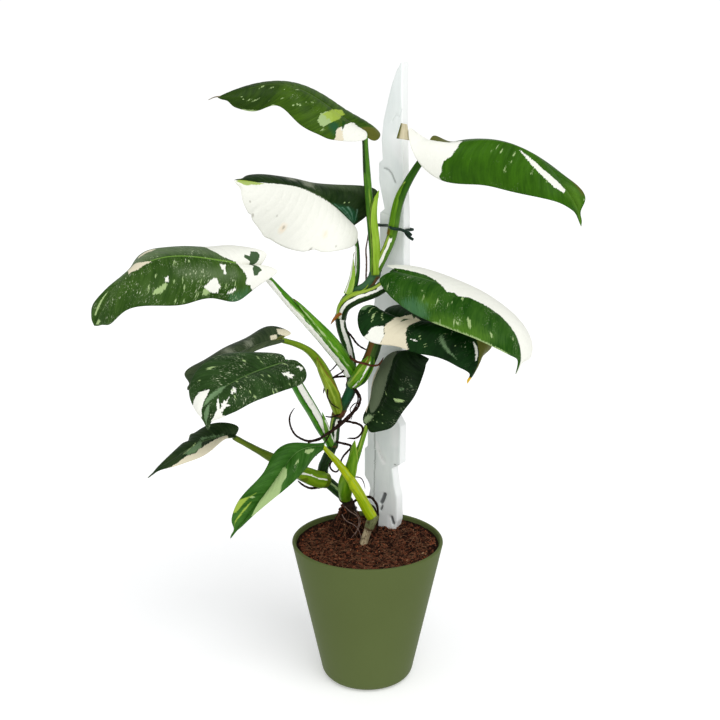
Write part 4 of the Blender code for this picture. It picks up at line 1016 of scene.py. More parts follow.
def board_look():
    """White wall paint over plaster, brushed lengthwise; whiter on the edges, sides and back and in the
    highlight marks as painted light, grey in the grooves as painted shade.
    """
    made, tree, shader = new_look("board_paint", 0.62, 0.15)
    brushed = noise(tree, place(tree, "Object", (1, 1, 0.12)), 170, 4, 0.6)
    cloud = noise(tree, place(tree, "Object", (1, 1, 0.35)), 34, 3)
    colour = blend(tree, span(tree, cloud, 0.35, 0.68), tint(232, 238, 236), tint(247, 250, 248))
    colour = blend(tree, span(tree, brushed, 0.5, 0.72, 0, 0.3), colour, tint(216, 224, 221))
    # Whiter near the front's edges and on the sides and back, as painted light
    colour = blend(tree, field(tree, "edge"), colour, tint(250, 252, 250))
    # Painted highlights
    colour = blend(tree, span(tree, field(tree, "painted_highlight"), 0.0, 0.3, 0, 0.9), colour, tint(249, 250, 249))
    # Painted shade inside the grooves
    colour = blend(tree, span(tree, field(tree, "shaded_groove"), 0.35, 1.6, 0, 0.85), colour, tint(70, 74, 76))
    finish_look(tree, shader, colour, sums(tree, "ADD", brushed, cloud), 0.35, 0.0008)
    return made


def tie_look():
    """Dark green plastic coat, rubbed paler in places."""
    made, tree, shader = new_look("tie_coat", 0.45, 0.15)
    rub = body_noise(tree, 500, 3)
    colour = blend(tree, span(tree, rub, 0.4, 0.7), tint(10, 30, 22), tint(34, 62, 46))
    finish_look(tree, shader, colour, rub, 0.2, 0.0003)
    return made


def husk_look():
    """Dry papery leaf scale: orange-brown with darker lengthwise veins."""
    made, tree, shader = new_look("dry_husk", 0.7, 0.08)
    vein = grain_noise(tree, 0.6, 14, 4)
    colour = blend(tree, span(tree, vein, 0.35, 0.65), tint(86, 44, 18), tint(190, 122, 54))
    finish_look(tree, shader, colour, vein, 0.5, 0.0004)
    return made


# Leaves

def edge_line(shape, side, midrib, tangent):
    """A margin: a smooth curve through its points, starting beside the midrib's base and ending at its tip,
    drawn in just before the tip and moved in or out by its nicks, each a bell curve in t."""
    points = np.array(shape[side], float)
    aside = points[0] - midrib[0]
    aside = aside - tangent[0] * (aside @ tangent[0])
    start = midrib[0] + ROOT_HALF_WIDTH * unit(aside)
    end = midrib[-1] + TIP_HALF_WIDTH * unit(points[-1] - midrib[-1])
    edge = natural_spline([start, *points, end], len(midrib))
    t = np.linspace(0, 1, len(midrib))[:, None]
    edge = edge + (midrib - edge) * shape.get("drip", DRIP) * np.exp(-((t - DRIP_AT) / DRIP_LENGTH)**2)
    inward = unit(midrib - edge)
    for nick_side, centre, depth, width in shape.get("nicks", ()):
        if nick_side == side:
            edge = edge + inward * depth * np.exp(-((t - centre) / width)**2)
    return edge


def leaf_grid(shape):
    """Points of the blade's middle surface, right margin to left margin by base to tip.

    P(t, s) = M + s (E - M) + 4 s (1 - s) bulge (1 - (2 t - 1)**4) n, with M on the midrib at t, E on the
    margin and n the upper normal. Columns lie closer together beside the midrib.
    """
    dense = natural_spline(shape["midrib"], MIDRIB_STEPS)
    travel = travel_along(dense)
    t = np.linspace(0, 1, LEAF_ROWS + 1)
    along = t**CROWDING * travel[-1]
    slope = unit(np.gradient(dense, axis=0))
    midrib = np.stack([np.interp(along, travel, dense[:, axis]) for axis in range(3)], -1)
    tangent = np.stack([np.interp(along, travel, slope[:, axis]) for axis in range(3)], -1)
    s = (np.linspace(0, 1, LEAF_COLUMNS + 1)**CROWDING)[:, None, None]
    halves = []
    for side, sign, bulge in (("right", 1, shape["bulge"][1]), ("left", -1, shape["bulge"][0])):
        edge = edge_line(shape, side, midrib, tangent)
        up = unit(sign * np.cross(edge - midrib, tangent))
        swell = bulge * (1 - (2 * t - 1)**4)[None, :, None]
        halves.append(midrib + s * (edge - midrib) + 4 * s * (1 - s) * swell * up)
    grid = np.concatenate([halves[0][::-1], halves[1][1:]]).transpose(1, 0, 2)
    v = np.concatenate([-s[::-1, 0, 0], s[1:, 0, 0]])
    return grid, t, v, travel[-1]


def polygon_depth(points, corners):
    """Distance inside a polygon's outline, negative outside it."""
    first = np.array(corners, float)
    second = np.roll(first, -1, axis=0)
    run = second - first
    offset = points[:, None] - first[None]
    share = np.clip((offset * run).sum(-1) / np.maximum((run**2).sum(-1), 1e-9), 0, 1)
    distance = np.linalg.norm(offset - share[..., None] * run, axis=-1).min(axis=1)
    straddles = (first[None, :, 1] > points[:, None, 1]) != (second[None, :, 1] > points[:, None, 1])
    rise = np.where(np.abs(run[:, 1]) < 1e-9, 1e-9, run[:, 1])
    reach = first[None, :, 0] + run[None, :, 0] * (points[:, None, 1] - first[None, :, 1]) / rise
    inside = (straddles & (points[:, None, 0] < reach)).sum(axis=1) % 2 == 1
    return np.where(inside, distance, -distance)


def deepen(fields, kind, depth):
    """Adds a mark to the field of its kind, which holds the distance inside the marks' edges."""
    fields[kind] = np.maximum(fields.get(kind, -FAR), depth)


def kinds_in(fields):
    """The kinds of mark among the fields, in the order in which a look paints them."""
    return [kind for kind in PAINTS if kind in fields]


def leaf_fields(name, shape, t, v, length, width):
    """The distance inside each kind of mark, in millimetres. Dashes are small ovals drawn out along the
    side veins, and spots are round."""
    tt, vv = np.meshgrid(t, v, indexing="ij")
    flat = np.stack([tt.ravel() * length, vv.ravel() * width], -1)
    fields = {}
    for kind, corners in shape["marks"]:
        depth = polygon_depth(flat, [(a * length, b * width) for a, b in corners])
        deepen(fields, kind, depth)
    draw = np.random.default_rng(len(name) * 7 + len(shape["marks"]))
    slant = math.radians(shape.get("slant", 0))
    ovals = [("mint", a, b, draw.uniform(0.7, 1.5), draw.uniform(0.32, 0.5)) for a, b in shape["dashes"]]
    ovals += [(kind, a, b, size, size) for kind, a, b, size in shape.get("spots", ())]
    for kind, a, b, long, thick in ovals:
        along, across = flat[:, 0] - a * length, flat[:, 1] - b * width
        away = np.hypot((along * math.cos(slant) - across * math.sin(slant)) / thick,
                        (along * math.sin(slant) + across * math.cos(slant)) / long)
        deepen(fields, kind, (1 - away) * thick)
    return {kind: np.clip(depth, -FAR, FAR).reshape(tt.shape) for kind, depth in fields.items()}


def leaf(place_name, shape, number):
    """One blade: its middle surface with side veins pressed in, soft waves at the margins, a fold along
    the midrib above and a raised rib below, given a thickness that thins towards the margins."""
    grid, t, v, length = leaf_grid(shape)
    normal = -unit(np.cross(np.gradient(grid, axis=1), np.gradient(grid, axis=0)))
    tt, vv = np.meshgrid(t, v, indexing="ij")
    half = np.linalg.norm(grid[:, [0, -1]] - grid[:, LEAF_COLUMNS][:, None], axis=-1)
    width = np.where(vv < 0, half[:, :1], half[:, 1:])
    sweep = tt - VEIN_SWEEP * vv**2
    vein = sweep * SIDE_VEINS % 1 - 0.5
    fade = np.clip(np.abs(vv) * 8, 0, 1) * (1 - np.abs(vv)**5) * np.clip(width / 12, 0, 1)
    relief = -VEIN_DEPTH * np.exp(-(vein / VEIN_WIDTH)**2) * fade
    relief += WAVE_HEIGHT * lumps(grid, WAVE_LENGTH, number) * np.abs(vv)**1.5 * np.sin(math.pi * tt)
    fold = np.exp(-(vv * width / FOLD_WIDTH)**2)
    relief -= FOLD_DEPTH * fold * (1 - tt)
    keel = KEEL_HEIGHT * np.exp(-(vv * width / KEEL_WIDTH)**2) * (1 - tt)**0.8
    thick = BLADE_THICKNESS * (1 - EDGE_THINNING * np.abs(vv)**6)
    top = grid + (relief + thick / 2)[..., None] * normal
    bottom = grid + (relief - thick / 2 - keel)[..., None] * normal
    wide = float(half.mean())
    fields = leaf_fields(place_name, shape, t, v, length, wide)
    start, end, half_width = shape.get("rib", RIB)[1:4]
    fields["rib"] = np.minimum(half_width * (1.2 - tt) - np.abs(vv) * width,
                               np.minimum(tt - start, end - tt) * length * 0.2)
    kinds = kinds_in(fields)
    name = "leaf_" + place_name
    looks = (leaf_look(name + "_skin", shape, kinds),
             leaf_look(name + "_underside", shape, kinds, under=True))
    piece = sheet_piece(name, top, bottom, looks, sweep * length / 10, vv * wide / 10, fields)
    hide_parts("blade_" + place_name)


# Stems and stalks

def stripe_field(angle, radius, centre, half_width):
    """Distance inside a lengthwise stripe: its half-width less the way round the tube from its middle."""
    turn = (angle - math.radians(centre) + math.pi) % (2 * math.pi) - math.pi
    return half_width - np.abs(turn) * radius


def stalk(place_name, shape):
    """A petiole from inside the stem to the base of its leaf, with a shallow groove on its upper side, and
    the pointed sheath that wraps its lower end."""
    base = np.array(LEAVES[place_name]["midrib"][0], float)
    onward = unit(np.array(LEAVES[place_name]["midrib"][1], float) - base)
    line = natural_spline((*shape["route"], base + 0.8 * onward - np.array((0, 0, 0.9))), STALK_RINGS)
    f = np.linspace(0, 1, len(line))
    length = float(run_lengths(line).sum())
    angle = np.linspace(0, 2 * math.pi, STALK_SIDES, endpoint=False)
    radius = np.interp(f, np.linspace(0, 1, len(shape["radii"])), shape["radii"])
    radius = radius * (1 + KNEE_SWELL * np.exp(-((f - KNEE_AT) / KNEE_LENGTH)**2))
    groove = np.exp(-((angle[None] - math.radians(GROOVE_SIDE)) / GROOVE_WIDTH)**2)
    ring = radius[:, None] * (1 - GROOVE_DEPTH * groove * np.clip(f * 4, 0, 1)[:, None])
    ring = ring * (1 + 0.02 * lumps(np.stack([f * 40, f * 0, f * 0], -1), 9, len(place_name)))[:, None]
    fields = {}
    for kind, centre, half_width, start, end in shape["stripes"]:
        depth = stripe_field(angle[None], radius[:, None], centre, half_width)
        depth = np.minimum(depth, (np.minimum(f - start, end - f) * length * 0.3 + 0.3)[:, None])
        deepen(fields, kind, depth)
    name = "stalk_" + place_name
    look = stalk_look(name + "_skin", shape["tone"], kinds_in(fields))
    piece = tube_piece(name, line, ring, [look], fields)
    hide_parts("petiole_" + place_name)
    sheath(place_name, shape["sheath"], line, radius)


def sheath(place_name, form, line, radius):
    """A pointed gutter that hugs its stalk: arcs of radius R about the stalk, turned to the sheath's side,
    whose half-angle shrinks towards the tip as 1 - a**blunt, with a the way along it."""
    last = int(form["at"] * (len(line) - 1))
    tangent = unit(np.gradient(line, axis=0))
    front = forward(tangent)
    side = math.radians(form["side"])
    out = math.cos(side) * front + math.sin(side) * np.cross(tangent, front)
    reach = form["reach"] * radius
    tip = np.array(form["tip"], float)
    foot = form.get("foot", SHEATH_FOOT)
    shares = foot + (1 - foot) * np.array((0, 0.34, 0.7, 1))
    points = [line[i] + out[i] * reach[i] for i in (last * shares).astype(int)]
    halfway = (points[-1] + tip) / 2 + tangent[last] * np.linalg.norm(tip - points[-1]) * 0.12
    middle = natural_spline((*points, halfway, tip), SHEATH_STEPS)
    a = np.linspace(0, 1, SHEATH_STEPS)
    beside = np.minimum(((foot + (1 - foot) * 1.5 * a) * last).astype(int), last)
    way = unit(np.gradient(middle, axis=0))
    lift = unit(out[beside] - way * (way * out[beside]).sum(-1, keepdims=True))
    aside = np.cross(way, lift)[:, None]
    lift = lift[:, None]
    ring = (reach[beside] * (1 - 0.3 * a**3))[:, None, None]
    half_turn = np.radians(form["wrap"]) * (1 - a**form["blunt"]) + 0.06
    q = np.linspace(-1, 1, SHEATH_COLUMNS)
    turn = (q[None] * half_turn[:, None])[..., None]
    axis = middle[:, None] - lift * ring
    spoke = np.cos(turn) * lift + np.sin(turn) * aside
    outer = axis + ring * spoke
    inner = axis + (ring - SHEATH_THICKNESS) * spoke
    length = float(run_lengths(middle).sum())
    u, v = np.meshgrid(a * length / 10, q * 0.35, indexing="ij")
    fields = {}
    for kind, centre, half_width, start, end in form["bands"]:
        depth = half_width - np.abs(q[None] - centre) * half_turn[:, None] * ring[..., 0]
        depth = np.minimum(depth, (np.minimum(a - start, end - a) * length * 0.3 + 0.1)[:, None])
        deepen(fields, kind, depth)
    name = "sheath_" + place_name
    look = stalk_look(name + "_skin", form["tone"], kinds_in(fields))
    piece = sheet_piece(name, outer, inner, (look, look), u, v, fields)


def main_stem():
    """The zigzag stem: a tube that swells at each node, with a ring scar where each stalk sits."""
    line = natural_spline(MAIN_STEM, STEM_RINGS)
    f = np.linspace(0, 1, len(line))
    radius = np.interp(f, np.linspace(0, 1, len(MAIN_STEM_RADII)), MAIN_STEM_RADII)
    starts = [np.array(shape["route"][0], float) for place_name, shape in STALKS.items()
              if place_name != "low_front"]
    nodes = sorted(int(np.argmin(np.linalg.norm(line - start, axis=1))) for start in starts)
    travel = travel_along(line)
    away = np.abs(travel[:, None] - travel[nodes][None]).min(axis=1)
    ring = 1 + NODE_SWELL * np.exp(-(away / NODE_REACH)**2)
    ring = ring - SCAR_DEPTH * np.exp(-((away - SCAR_AWAY) / SCAR_WIDTH)**2)
    points = tube_points(line, radius, STEM_SIDES)
    ring = (radius * ring)[:, None] * (1 + 0.035 * lumps(points, 9, 3) + 0.02 * lumps(points, 3, 4))
    knot = np.exp(-((line[:, 2] - KNOT_HEIGHT) / KNOT_REACH)**2)
    ring = ring * (1 + KNOT_SWELL * knot[:, None] * (0.5 + lumps(points, 5, 8)))
    angle = np.linspace(0, 2 * math.pi, STEM_SIDES, endpoint=False)
    fields = {}
    for kind, centre, half_width, low, high in STEM_STRIPES:
        depth = stripe_field(angle[None], radius[:, None], centre, half_width)
        depth = np.minimum(depth, (np.minimum(line[:, 2] - low, high - line[:, 2]) * 0.5)[:, None])
        deepen(fields, kind, depth)
    look = main_stem_look(kinds_in(fields))
    node = np.exp(-(away / 3.2)**2) * np.interp(line[:, 2], (150, 240, 300), (0.62, 0.5, 0.42)) + 0.8 * knot
    fields["node"] = np.broadcast_to(node[:, None], ring.shape)
    # Low down the skin turns dark brown, partly as painted shade
    fields["low"] = np.broadcast_to(np.clip((156 - line[:, 2]) / 8, 0, 1)[:, None], ring.shape)
    piece = tube_piece("stem", line, ring, [look], fields)
    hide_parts("main_stem")


def side_cane():
    """The cane: an uneven tube with a low ring at its node, and wider above it."""
    line = natural_spline(SIDE_CANE, CANE_RINGS)
    points = tube_points(line, np.full(len(line), SIDE_CANE_RADIUS), CANE_SIDES)
    joints = np.exp(-((line[:, 2] - CANE_NODE) / CANE_NODE_REACH)**2)
    girth = SIDE_CANE_RADIUS * np.interp(line[:, 2], *np.transpose(CANE_GIRTH))
    ring = (girth * (1 + CANE_NODE_SWELL * joints))[:, None] * (1 + 0.05 * lumps(points, 7, 5))
    fields = {"upper": np.broadcast_to(np.clip((line[:, 2] - 129) / 2, 0, 1)[:, None], ring.shape),
              "joint": np.broadcast_to(0.8 * joints[:, None], ring.shape)}
    piece = tube_piece("cane", line, ring, [cane_look()], fields)
    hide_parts("side_cane")


def roots():
    """Aerial roots: thin tubes, uneven in girth and slightly bent, thinning to their ends."""
    dark = root_look("root_skin", tint(16, 9, 7), tint(54, 36, 27))
    warm = root_look("root_brown_skin", tint(52, 26, 18), tint(110, 66, 42))
    grey = root_look("root_dry_skin", tint(92, 70, 62), tint(150, 128, 116))
    sides = 10
    # By number: a brown root, a dry one, and the three hairs at the foot of the stem
    skins = {4: warm, 6: grey, 19: grey, 20: grey, 21: grey}
    for number, (route, size) in enumerate((*AERIAL_ROOTS, *FINE_ROOTS), 1):
        line = natural_spline(route, 22 * len(route))
        f = np.linspace(0, 1, len(line))
        line = line + 0.4 * np.stack([lumps(line, 14, 10 * number + axis) for axis in range(3)], -1)
        points = tube_points(line, np.full(len(line), size), sides)
        taper = size * np.interp(f, *np.transpose(ROOT_TAPER))
        ring = taper[:, None] * (1 + 0.14 * lumps(points, 3, 30 + number))
        piece = tube_piece(f"root_{number}", line, ring, [skins.get(number, dark)])
        if number <= len(AERIAL_ROOTS):
            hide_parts(f"aerial_root_{number}")


def tip_thread():
    """The dried drip tip of the top left leaf: a hair-thin tube."""
    steps, sides = 24, 8
    line = natural_spline(TIP_THREAD, steps)
    ring = np.interp(np.linspace(0, 1, steps), (0, 1), (0.55, 0.22))[:, None] * np.ones((1, sides))
    look = root_look("thread_skin", tint(92, 84, 60), tint(140, 130, 104))
    piece = tube_piece("leaf_thread", line, ring, [look])


def bract():
    """A dry scale at the stem: a thin pointed sheet with its edges bent back, P = C + w (q S - q**2 F / 2),
    with C on its middle line at a, w = 1.2 (1 - |2 a - 1|**2.2) + 0.2, S to its side and F forwards."""
    steps, across = 31, 9
    middle = natural_spline(BRACT, steps)
    a = np.linspace(0, 1, steps)[:, None, None]
    q = np.linspace(-1, 1, across)[None, :, None]
    way = unit(np.gradient(middle, axis=0))[:, None]
    aside = unit(np.cross(way, np.array((0, -1.0, 0))))
    ahead = np.cross(aside, way)
    wide = 1.2 * (1 - np.abs(2 * a - 1)**2.2) + 0.2
    sheet = middle[:, None] + wide * (q * aside - 0.5 * q**2 * ahead)
    u, v = np.meshgrid(np.linspace(0, 2, steps), np.linspace(0, 0.4, across), indexing="ij")
    look = husk_look()
    piece = sheet_piece("stem_scale", sheet, sheet + 0.35 * ahead, (look, look), u, v)


def curled_lobe():
    """The turned-back lobe of the top right leaf, seen from below: a small sheet between four corners, bowed
    forwards."""
    corners = np.array(CURLED_LOBE, float)
    rows, columns = np.meshgrid(np.linspace(0, 1, 21), np.linspace(0, 1, 15), indexing="ij")
    a, q = rows[..., None], columns[..., None]
    low = corners[0] + (corners[1] - corners[0]) * q
    high = corners[3] + (corners[2] - corners[3]) * q
    sheet = low + (high - low) * a + np.array((0, -2.0, 0)) * 4 * a * (1 - a)
    fields = {"green": 0.9 - rows * 9, "lobe": 1.6 - rows * 9, "rib": 0 * rows - 1}
    look = leaf_look("leaf_lobe_skin", dict(tone=((190, 180, 146), (216, 207, 176)), flecks=0),
                     ["green", "lobe"])
    piece = sheet_piece("leaf_top_right_lobe", sheet, sheet + np.array((0, 0.5, 0)), (look, look),
                        rows * 1.5, columns * 1.5, fields)


# Pot and soil

def wall_radius(height):
    """Outer radius of the pot at a height."""
    return BASE_RADIUS + (RIM_RADIUS - BASE_RADIUS) * height / POT_HEIGHT


def arc(centre, radius, start, end, steps):
    """Points of a round stretch about centre, from start to end in degrees."""
    angle = np.radians(np.linspace(start, end, steps + 1))
    return np.stack([centre[0] + radius * np.cos(angle), centre[1] + radius * np.sin(angle)], -1)


def turned_grid(profile, steps):
    """A profile of (radius, height) carried round the Z axis."""
    angle = np.linspace(0, 2 * math.pi, steps, endpoint=False)
    radius, height = np.array(profile, float).T
    return np.stack([radius[:, None] * np.cos(angle), radius[:, None] * np.sin(angle),
                     np.broadcast_to(height[:, None], (len(radius), steps))], -1)


def pot():
    """A tapered cup of revolution with a round lip and a rounded foot, from the inner floor outwards."""
    taper = math.degrees(math.atan2(RIM_RADIUS - BASE_RADIUS, POT_HEIGHT))
    inner = wall_radius(POT_FLOOR + BASE_FILLET) - POT_WALL
    lip = POT_WALL / 2
    profile = np.concatenate([
        [(0, POT_FLOOR), (inner - BASE_FILLET, POT_FLOOR)],
        arc((inner - BASE_FILLET, POT_FLOOR + BASE_FILLET), BASE_FILLET, -85, 0, 8),
        arc((RIM_RADIUS - lip, POT_HEIGHT - lip), lip, 180, 0, 12),
        arc((wall_radius(BASE_FILLET) - BASE_FILLET, BASE_FILLET), BASE_FILLET, -taper, -90, 14),
        [(0, 0)]])
    steps = 192
    grid = turned_grid(profile, steps)
    faces = grid_faces(len(profile), steps, True)[:, ::-1]
    piece = mesh_piece("pot_shell", grid, faces, [pot_look()], weld=True)
    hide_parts("pot")


def soil_height(x, y):
    """Height of the soil's top: a shallow dish with a mound where the main stem stands."""
    radius = np.hypot(x, y)
    away = (x - MOUND_CENTRE[0])**2 + (y - MOUND_CENTRE[1])**2
    mound = MOUND_HEIGHT * np.exp(-away / (MOUND_RADIUS**2 / 2))
    mound = mound * np.clip((MOUND_EDGE - radius) / MOUND_FADE, 0, 1)
    return SOIL_TOP - SOIL_SINK * (1 - (radius / DISH_RADIUS)**2) + mound


def soil():
    """The soil body: rings from the middle of the top out to the wall and down to the floor, with crumbs
    raised on the top by three sizes of unevenness."""
    count, steps = 110, 300
    top = wall_radius(SOIL_TOP) - POT_WALL
    rings = [(top * i / count, SOIL_TOP) for i in range(count + 1)]
    foot = wall_radius(POT_FLOOR + BASE_FILLET) - POT_WALL - SOIL_GAP
    profile = rings + [(foot, POT_FLOOR + BASE_FILLET), (foot - BASE_FILLET, POT_FLOOR + SOIL_GAP),
                       (0, POT_FLOOR + SOIL_GAP)]
    grid = turned_grid(profile, steps)
    surface = grid[:count + 1]
    x, y = surface[..., 0], surface[..., 1]
    flat = np.stack([x, y, 0 * x], -1)
    crumbs = 1.0 * lumps(flat, 9, 1) + 0.8 * lumps(flat, 4, 2) + 0.55 * lumps(flat, 2.2, 3)
    fade = np.clip((top - np.hypot(x, y)) / 3, 0.25, 1)
    surface[..., 2] = soil_height(x, y) + crumbs * fade
    grid[0] = grid[0].mean(axis=0)
    faces = grid_faces(len(profile), steps, True)
    piece = mesh_piece("soil_body", grid, faces, [soil_look()], weld=True)
    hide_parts("soil")


def scatter(draw, count, margin):
    """Seeded places spread evenly over the soil, margin away from the pot's wall."""
    radius = (wall_radius(SOIL_TOP) - POT_WALL - margin) * np.sqrt(draw.uniform(0, 1, count))
    angle = draw.uniform(0, 2 * math.pi, count)
    x, y = radius * np.cos(angle), radius * np.sin(angle)
    return np.stack([x, y, soil_height(x, y)], -1)


def turns(draw, count, flat):
    """Seeded turns as rows of three axes; flat near 1 keeps the third axis close to upright."""
    third = unit(draw.normal(size=(count, 3)) * (1 - flat) + np.array((0, 0, flat)))
    first = unit(np.cross(third, draw.normal(size=(count, 3))))
    return first, np.cross(third, first), third


def chips(name, count, sizes, look, seed, flat=0.45, rings=5, sides=8):
    """Bark chips: rounded blocks, each a closed ball of rings pressed towards a box and dented, with three
    seeded sizes and a seeded turn."""
    draw = np.random.default_rng(seed)
    rise = np.linspace(-math.pi / 2, math.pi / 2, rings)
    angle = np.linspace(0, 2 * math.pi, sides, endpoint=False)
    ball = np.stack([np.cos(rise)[:, None] * np.cos(angle), np.cos(rise)[:, None] * np.sin(angle),
                     np.broadcast_to(np.sin(rise)[:, None], (rings, sides))], -1)
    ball = np.sign(ball) * np.abs(ball)**0.6
    size = draw.uniform(sizes[0], sizes[1], (count, 3)) * np.array(sizes[2])
    dents = draw.uniform(0.72, 1.15, (count, rings, sides, 1))
    dents[:, 0] = dents[:, 0].mean(axis=1, keepdims=True)
    dents[:, -1] = dents[:, -1].mean(axis=1, keepdims=True)
    shapes = ball[None] * dents * size[:, None, None]
    first, second, third = turns(draw, count, flat)
    places = scatter(draw, count, 2.5)
    points = (shapes[..., :1] * first[:, None, None] + shapes[..., 1:2] * second[:, None, None]
              + shapes[..., 2:] * third[:, None, None] + places[:, None, None])
    faces = repeated(grid_faces(rings, sides, True), count, rings * sides)
    shade = np.broadcast_to(draw.uniform(0, 1, count)[:, None, None], (count, rings, sides))
    piece = mesh_piece(name, points, faces, [look], fields={"shade": shade}, weld=True)
    piece.data.shade_flat()


def fibres(name, count, look, seed):
    """Coir fibres: thin three-sided threads that bend in a seeded arc over the soil and dip into it."""
    draw = np.random.default_rng(seed)
    steps, sides = 9, 3
    a = np.linspace(-1, 1, steps)
    places = scatter(draw, count, 6)
    heading = draw.uniform(0, 2 * math.pi, count)
    ahead = np.stack([np.cos(heading), np.sin(heading), np.zeros(count)], -1)
    aside = np.stack([-np.sin(heading), np.cos(heading), np.zeros(count)], -1)
    length = draw.uniform(2, 7, count)
    curl = draw.uniform(-0.5, 0.5, count) * length
    lift = draw.uniform(0.3, 1.6, count)
    line = (places[:, None] + ahead[:, None] * (a[None] * length[:, None])[..., None]
            + aside[:, None] * (a[None]**2 * curl[:, None])[..., None])
    line[..., 2] = soil_height(line[..., 0], line[..., 1]) + lift[:, None] * (1.1 - 1.6 * a**2)
    thick = draw.uniform(0.12, 0.28, count)[:, None, None, None] * (1 - 0.8 * a**4)[None, :, None, None]
    angle = np.linspace(0, 2 * math.pi, sides, endpoint=False)[None, None, :, None]
    points = line[:, :, None] + thick * (np.cos(angle) * aside[:, None, None]
                                         + np.sin(angle) * np.array((0, 0, 1.0)))
    ends = np.concatenate([np.broadcast_to(line[:, :1, None], (count, 1, sides, 3)), points,
                           np.broadcast_to(line[:, -1:, None], (count, 1, sides, 3))], axis=1)
    faces = repeated(grid_faces(steps + 2, sides, True)[:, ::-1], count, (steps + 2) * sides)
    shade = np.broadcast_to(draw.uniform(0, 1, count)[:, None, None], (count, steps + 2, sides))
    piece = mesh_piece(name, ends, faces, [look], fields={"shade": shade}, weld=True)


# Board and tie

def by_board(points):
    """World places of points given by distances across and behind the board's front, and height."""
    points = np.asarray(points, float)
    yaw = math.radians(BOARD_YAW)
    across, behind, height = points[..., 0], points[..., 1], points[..., 2]
    return np.stack([BOARD_PLACE[0] + across * math.cos(yaw) - behind * math.sin(yaw),
                     BOARD_PLACE[1] + across * math.sin(yaw) + behind * math.cos(yaw), height], -1)


def line_distance(points, line):
    """Distance to a chain of straight runs."""
    first, second = np.array(line[:-1], float), np.array(line[1:], float)
    run = second - first
    offset = points[..., None, :] - first
    share = np.clip((offset * run).sum(-1) / (run**2).sum(-1), 0, 1)
    return np.linalg.norm(offset - share[..., None] * run, axis=-1).min(axis=-1)


def edge_at(heights, edge):
    """How far across a side of the board lies at each height."""
    across, height = np.array(edge[::-1], float).T
    return np.interp(heights, height, across)


def board():
    """A slab in rings of equal height: across the front, round the right edge, back and round the left
    edge. Corners are rounded by pulling them in, and the front sinks along each of its marks."""
    heights = np.unique(np.concatenate([np.linspace(BOARD_FOOT, BOARD_TOP, 360),
                                        [z + d for x, z in (*BOARD_LEFT, *BOARD_RIGHT) for d in (-0.4, 0.4)
                                         if BOARD_FOOT < z + d < BOARD_TOP]]))
    left = edge_at(heights, BOARD_LEFT)
    right = edge_at(heights, BOARD_RIGHT)
    share = np.linspace(0, 1, 34)
    share = 0.5 - 0.5 * np.cos(math.pi * share) * (1 - 0.25 * np.sin(math.pi * share)**2)
    across = left[:, None] + (right - left)[:, None] * share[None]
    high = np.broadcast_to(heights[:, None], across.shape)
    edge = np.minimum(across - left[:, None], right[:, None] - across)
    end = np.minimum(high - BOARD_FOOT, BOARD_TOP - high)
    rounding = 0.8 * np.clip(1 - edge / 1.1, 0, 1)**2 + 0.5 * np.clip(1 - end / 0.9, 0, 1)**2
    spot = np.stack([across, high], -1)
    # Grooves, darkened inside as painted shade, and painted highlights; the front sinks along both
    marks = {"shaded_groove": np.zeros(across.shape), "painted_highlight": np.zeros(across.shape)}
    for kind, line, half_width, depth in BOARD_MARKS:
        sunk = depth * np.clip(1.6 - line_distance(spot, line) / half_width, 0, 1)
        marks[kind] = np.maximum(marks[kind], sunk)
    flat = np.stack([across, 0 * across, high], -1)
    wavy = 0.25 * lumps(flat, 30, 6) + 0.12 * lumps(flat, 9, 7)
    front = np.stack([across, rounding + marks["shaded_groove"] + marks["painted_highlight"] + 0.3 + 0.3 * wavy, high], -1)
    back = np.stack([across[:, ::-1], BOARD_THICKNESS - rounding[:, ::-1] - 0.2, high], -1)
    depth = np.linspace(0, 1, 9)[1:-1]
    bow = 0.5 * np.sin(math.pi * depth)
    turn = []
    for at, sign, run in ((right, 1, depth), (left, -1, depth[::-1])):
        x = at[:, None] + sign * bow[None] * 0.3
        y = 1.0 + (BOARD_THICKNESS - 2.0) * np.broadcast_to(run[None], x.shape)
        turn.append(np.stack([x, y, np.broadcast_to(heights[:, None], x.shape)], -1))
    ring = np.concatenate([front, turn[0], back, turn[1]], axis=1)
    rest = np.zeros((len(heights), ring.shape[1] - across.shape[1]))
    marks = {kind: np.concatenate([depth, rest], axis=1) for kind, depth in marks.items()}
    # The paint is whiter here as painted light: near the front's edges and on the sides and back
    marks["edge"] = np.concatenate([np.clip(1 - edge / 0.7, 0, 1), 1 + rest], axis=1)
    centre = ring.mean(axis=1, keepdims=True)
    ring = closed_tube(ring, centre[:1], centre[-1:])
    marks = {kind: with_ends(rows) for kind, rows in marks.items()}
    piece = mesh_piece("board", by_board(ring), grid_faces(*ring.shape[:2], True), [board_look()],
                       fields=marks, weld=True)
    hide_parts("support_board")


def tie():
    """The wire: a round tube along its route about the board and a stalk."""
    steps, sides = 330, 12
    line = natural_spline(by_board(TIE_ROUTE), steps)
    piece = tube_piece("tie", line, np.full((steps, sides), TIE_RADIUS), [tie_look()])
    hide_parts("wire_tie")


# Studio

